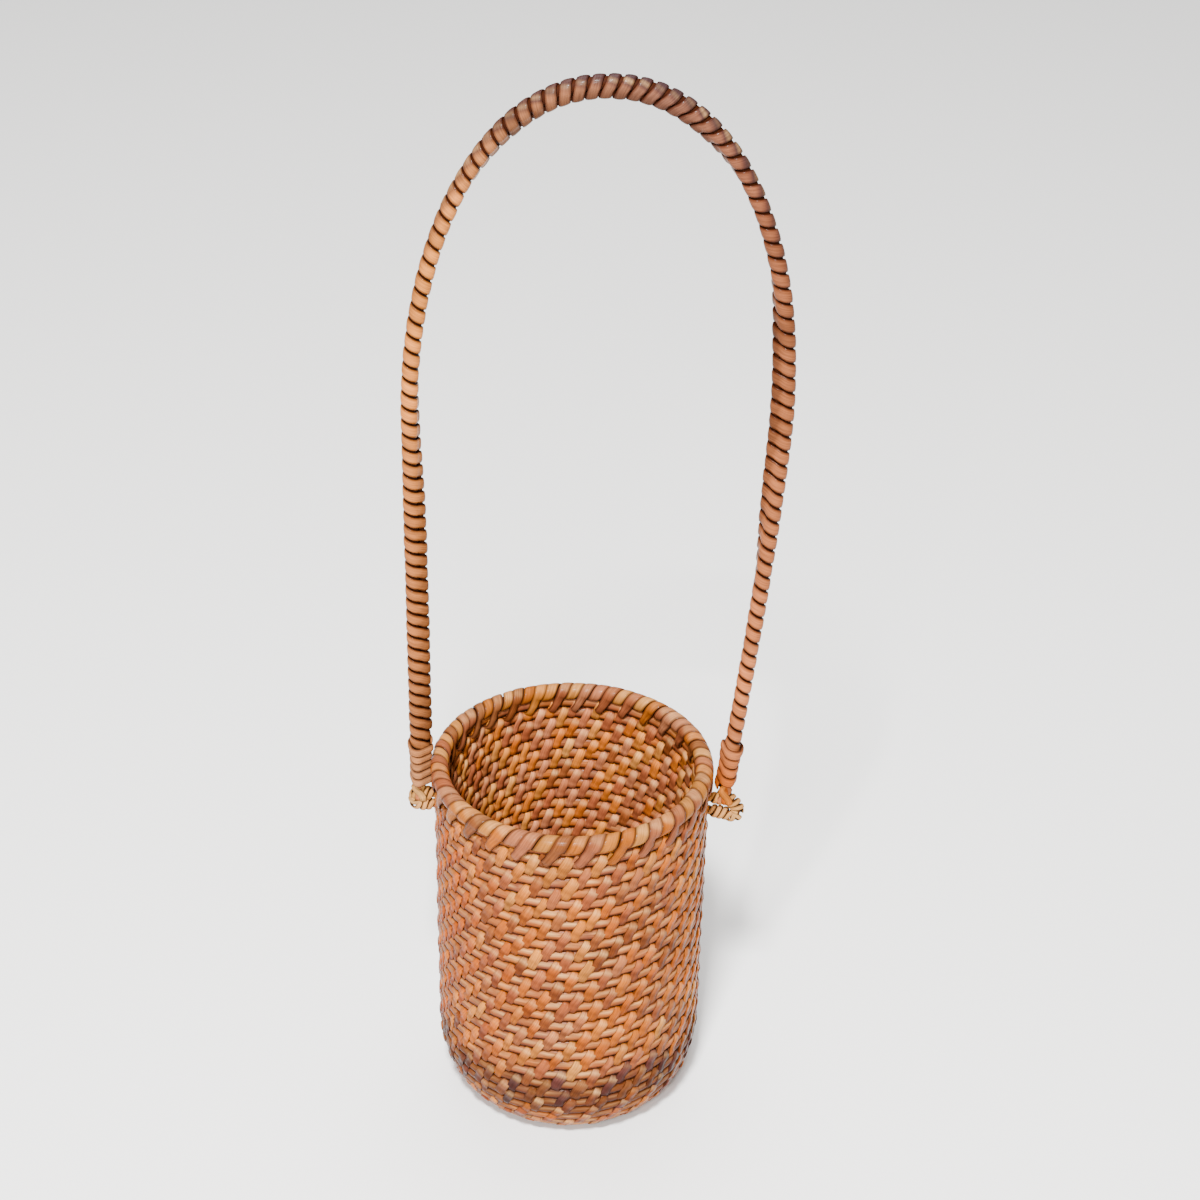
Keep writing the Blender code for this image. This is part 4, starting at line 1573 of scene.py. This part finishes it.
@dataclass(frozen=True)
class Studio:
    """The pale floor, the soft lights and the camera at the photograph's angle."""

    distance: float = 1.108
    elevation: float = math.radians(35.3)
    pan: float = math.radians(0.56)
    tilt: float = math.radians(3.49)
    roll: float = math.radians(1.21)
    focal: float = 2593.0
    image: float = 1200.0
    sensor: float = 36.0
    floor_half: float = 6.0
    floor_drop: float = 0.1 * MM
    paper: str = "#F4F3F1"
    sky: tuple[float, float, float, float] = (1.0, 0.99, 0.98, 1)
    sky_strength: float = 0.40
    lamps: tuple[Lamp, ...] = (Lamp("key_light", (-0.15, -0.98, 1.68), 0.22, 104.0),
                               Lamp("front_light", (-0.20, -1.45, 1.25), 0.30, 30.0),
                               Lamp("ceiling_light", (0.0, 0.8, 2.6), 1.60, 62.0))

    def camera(self) -> None:
        """Place the camera: it looks at the rim's middle, then pans, tilts and rolls a little."""
        centre = np.array([0.0, 0.0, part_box("rim_sewing_strip")[1].z])
        back = np.array([0.0, -math.cos(self.elevation), math.sin(self.elevation)])
        right = np.array([1.0, 0.0, 0.0])
        up = np.cross(right, -back)
        look = (-back * math.cos(self.pan) * math.cos(self.tilt)
                + right * math.sin(self.pan) * math.cos(self.tilt) + up * math.sin(self.tilt))
        data = bpy.data.cameras.new("camera")
        data.sensor_width = self.sensor
        data.lens = self.focal * self.sensor / self.image
        item = show("camera", data)
        turned = Vector(look).to_track_quat("-Z", "Y") @ Quaternion((0, 0, 1), self.roll)
        item.matrix_world = Matrix.LocRotScale(Vector(centre + self.distance * back), turned, None)
        bpy.context.scene.camera = item

    def floor(self) -> None:
        """Lay the sheet of white paper that the basket stands on."""
        mesh = bpy.data.meshes.new("floor")
        half, drop = self.floor_half, -self.floor_drop
        mesh.from_pydata([(-half, -half, drop), (half, -half, drop), (half, half, drop),
                          (-half, half, drop)], [], [(0, 1, 2, 3)])
        # Matt paper, as a photographer's sweep: it takes soft shadows and throws light back up.
        paper = bpy.data.materials.new("white_paper_sweep")
        paper.use_nodes = True
        shader = paper.node_tree.nodes["Principled BSDF"]
        shader.inputs["Base Color"].default_value = (*linear_rgb(self.paper), 1)
        shader.inputs["Roughness"].default_value = 0.9
        mesh.materials.append(paper)
        show("floor", mesh)

    def build(self) -> None:
        """Make the floor, lights and camera."""
        self.floor()
        world = bpy.data.worlds.new("studio")
        world.use_nodes = True
        sky = world.node_tree.nodes["Background"]
        sky.inputs["Color"].default_value = self.sky
        sky.inputs["Strength"].default_value = self.sky_strength
        bpy.context.scene.world = world
        for lamp in self.lamps:
            lamp.hang()
        self.camera()


def main() -> None:
    """Build the studio and dress the basket."""
    logging.basicConfig(level=logging.INFO, format="%(message)s")
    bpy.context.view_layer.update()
    rng = np.random.default_rng(SEED)
    outline = Outline()
    Studio().build()
    Coil(outline, rng).build()
    Rim(outline, rng).build()
    Handle(rng).build()
    Link(rng, "left", -1, outside=67.4 * MM, outer_drop=5.6 * MM, inner_drop=5.2 * MM,
         corner=2.2 * MM, swell=1.2 * MM, droop=0.0).build()
    Link(rng, "right", 1, outside=71.6 * MM, outer_drop=8.4 * MM, inner_drop=5.6 * MM,
         corner=3.8 * MM, swell=1.0 * MM, droop=3.0 * MM).build()
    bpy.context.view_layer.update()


if __name__ == "__main__":
    main()
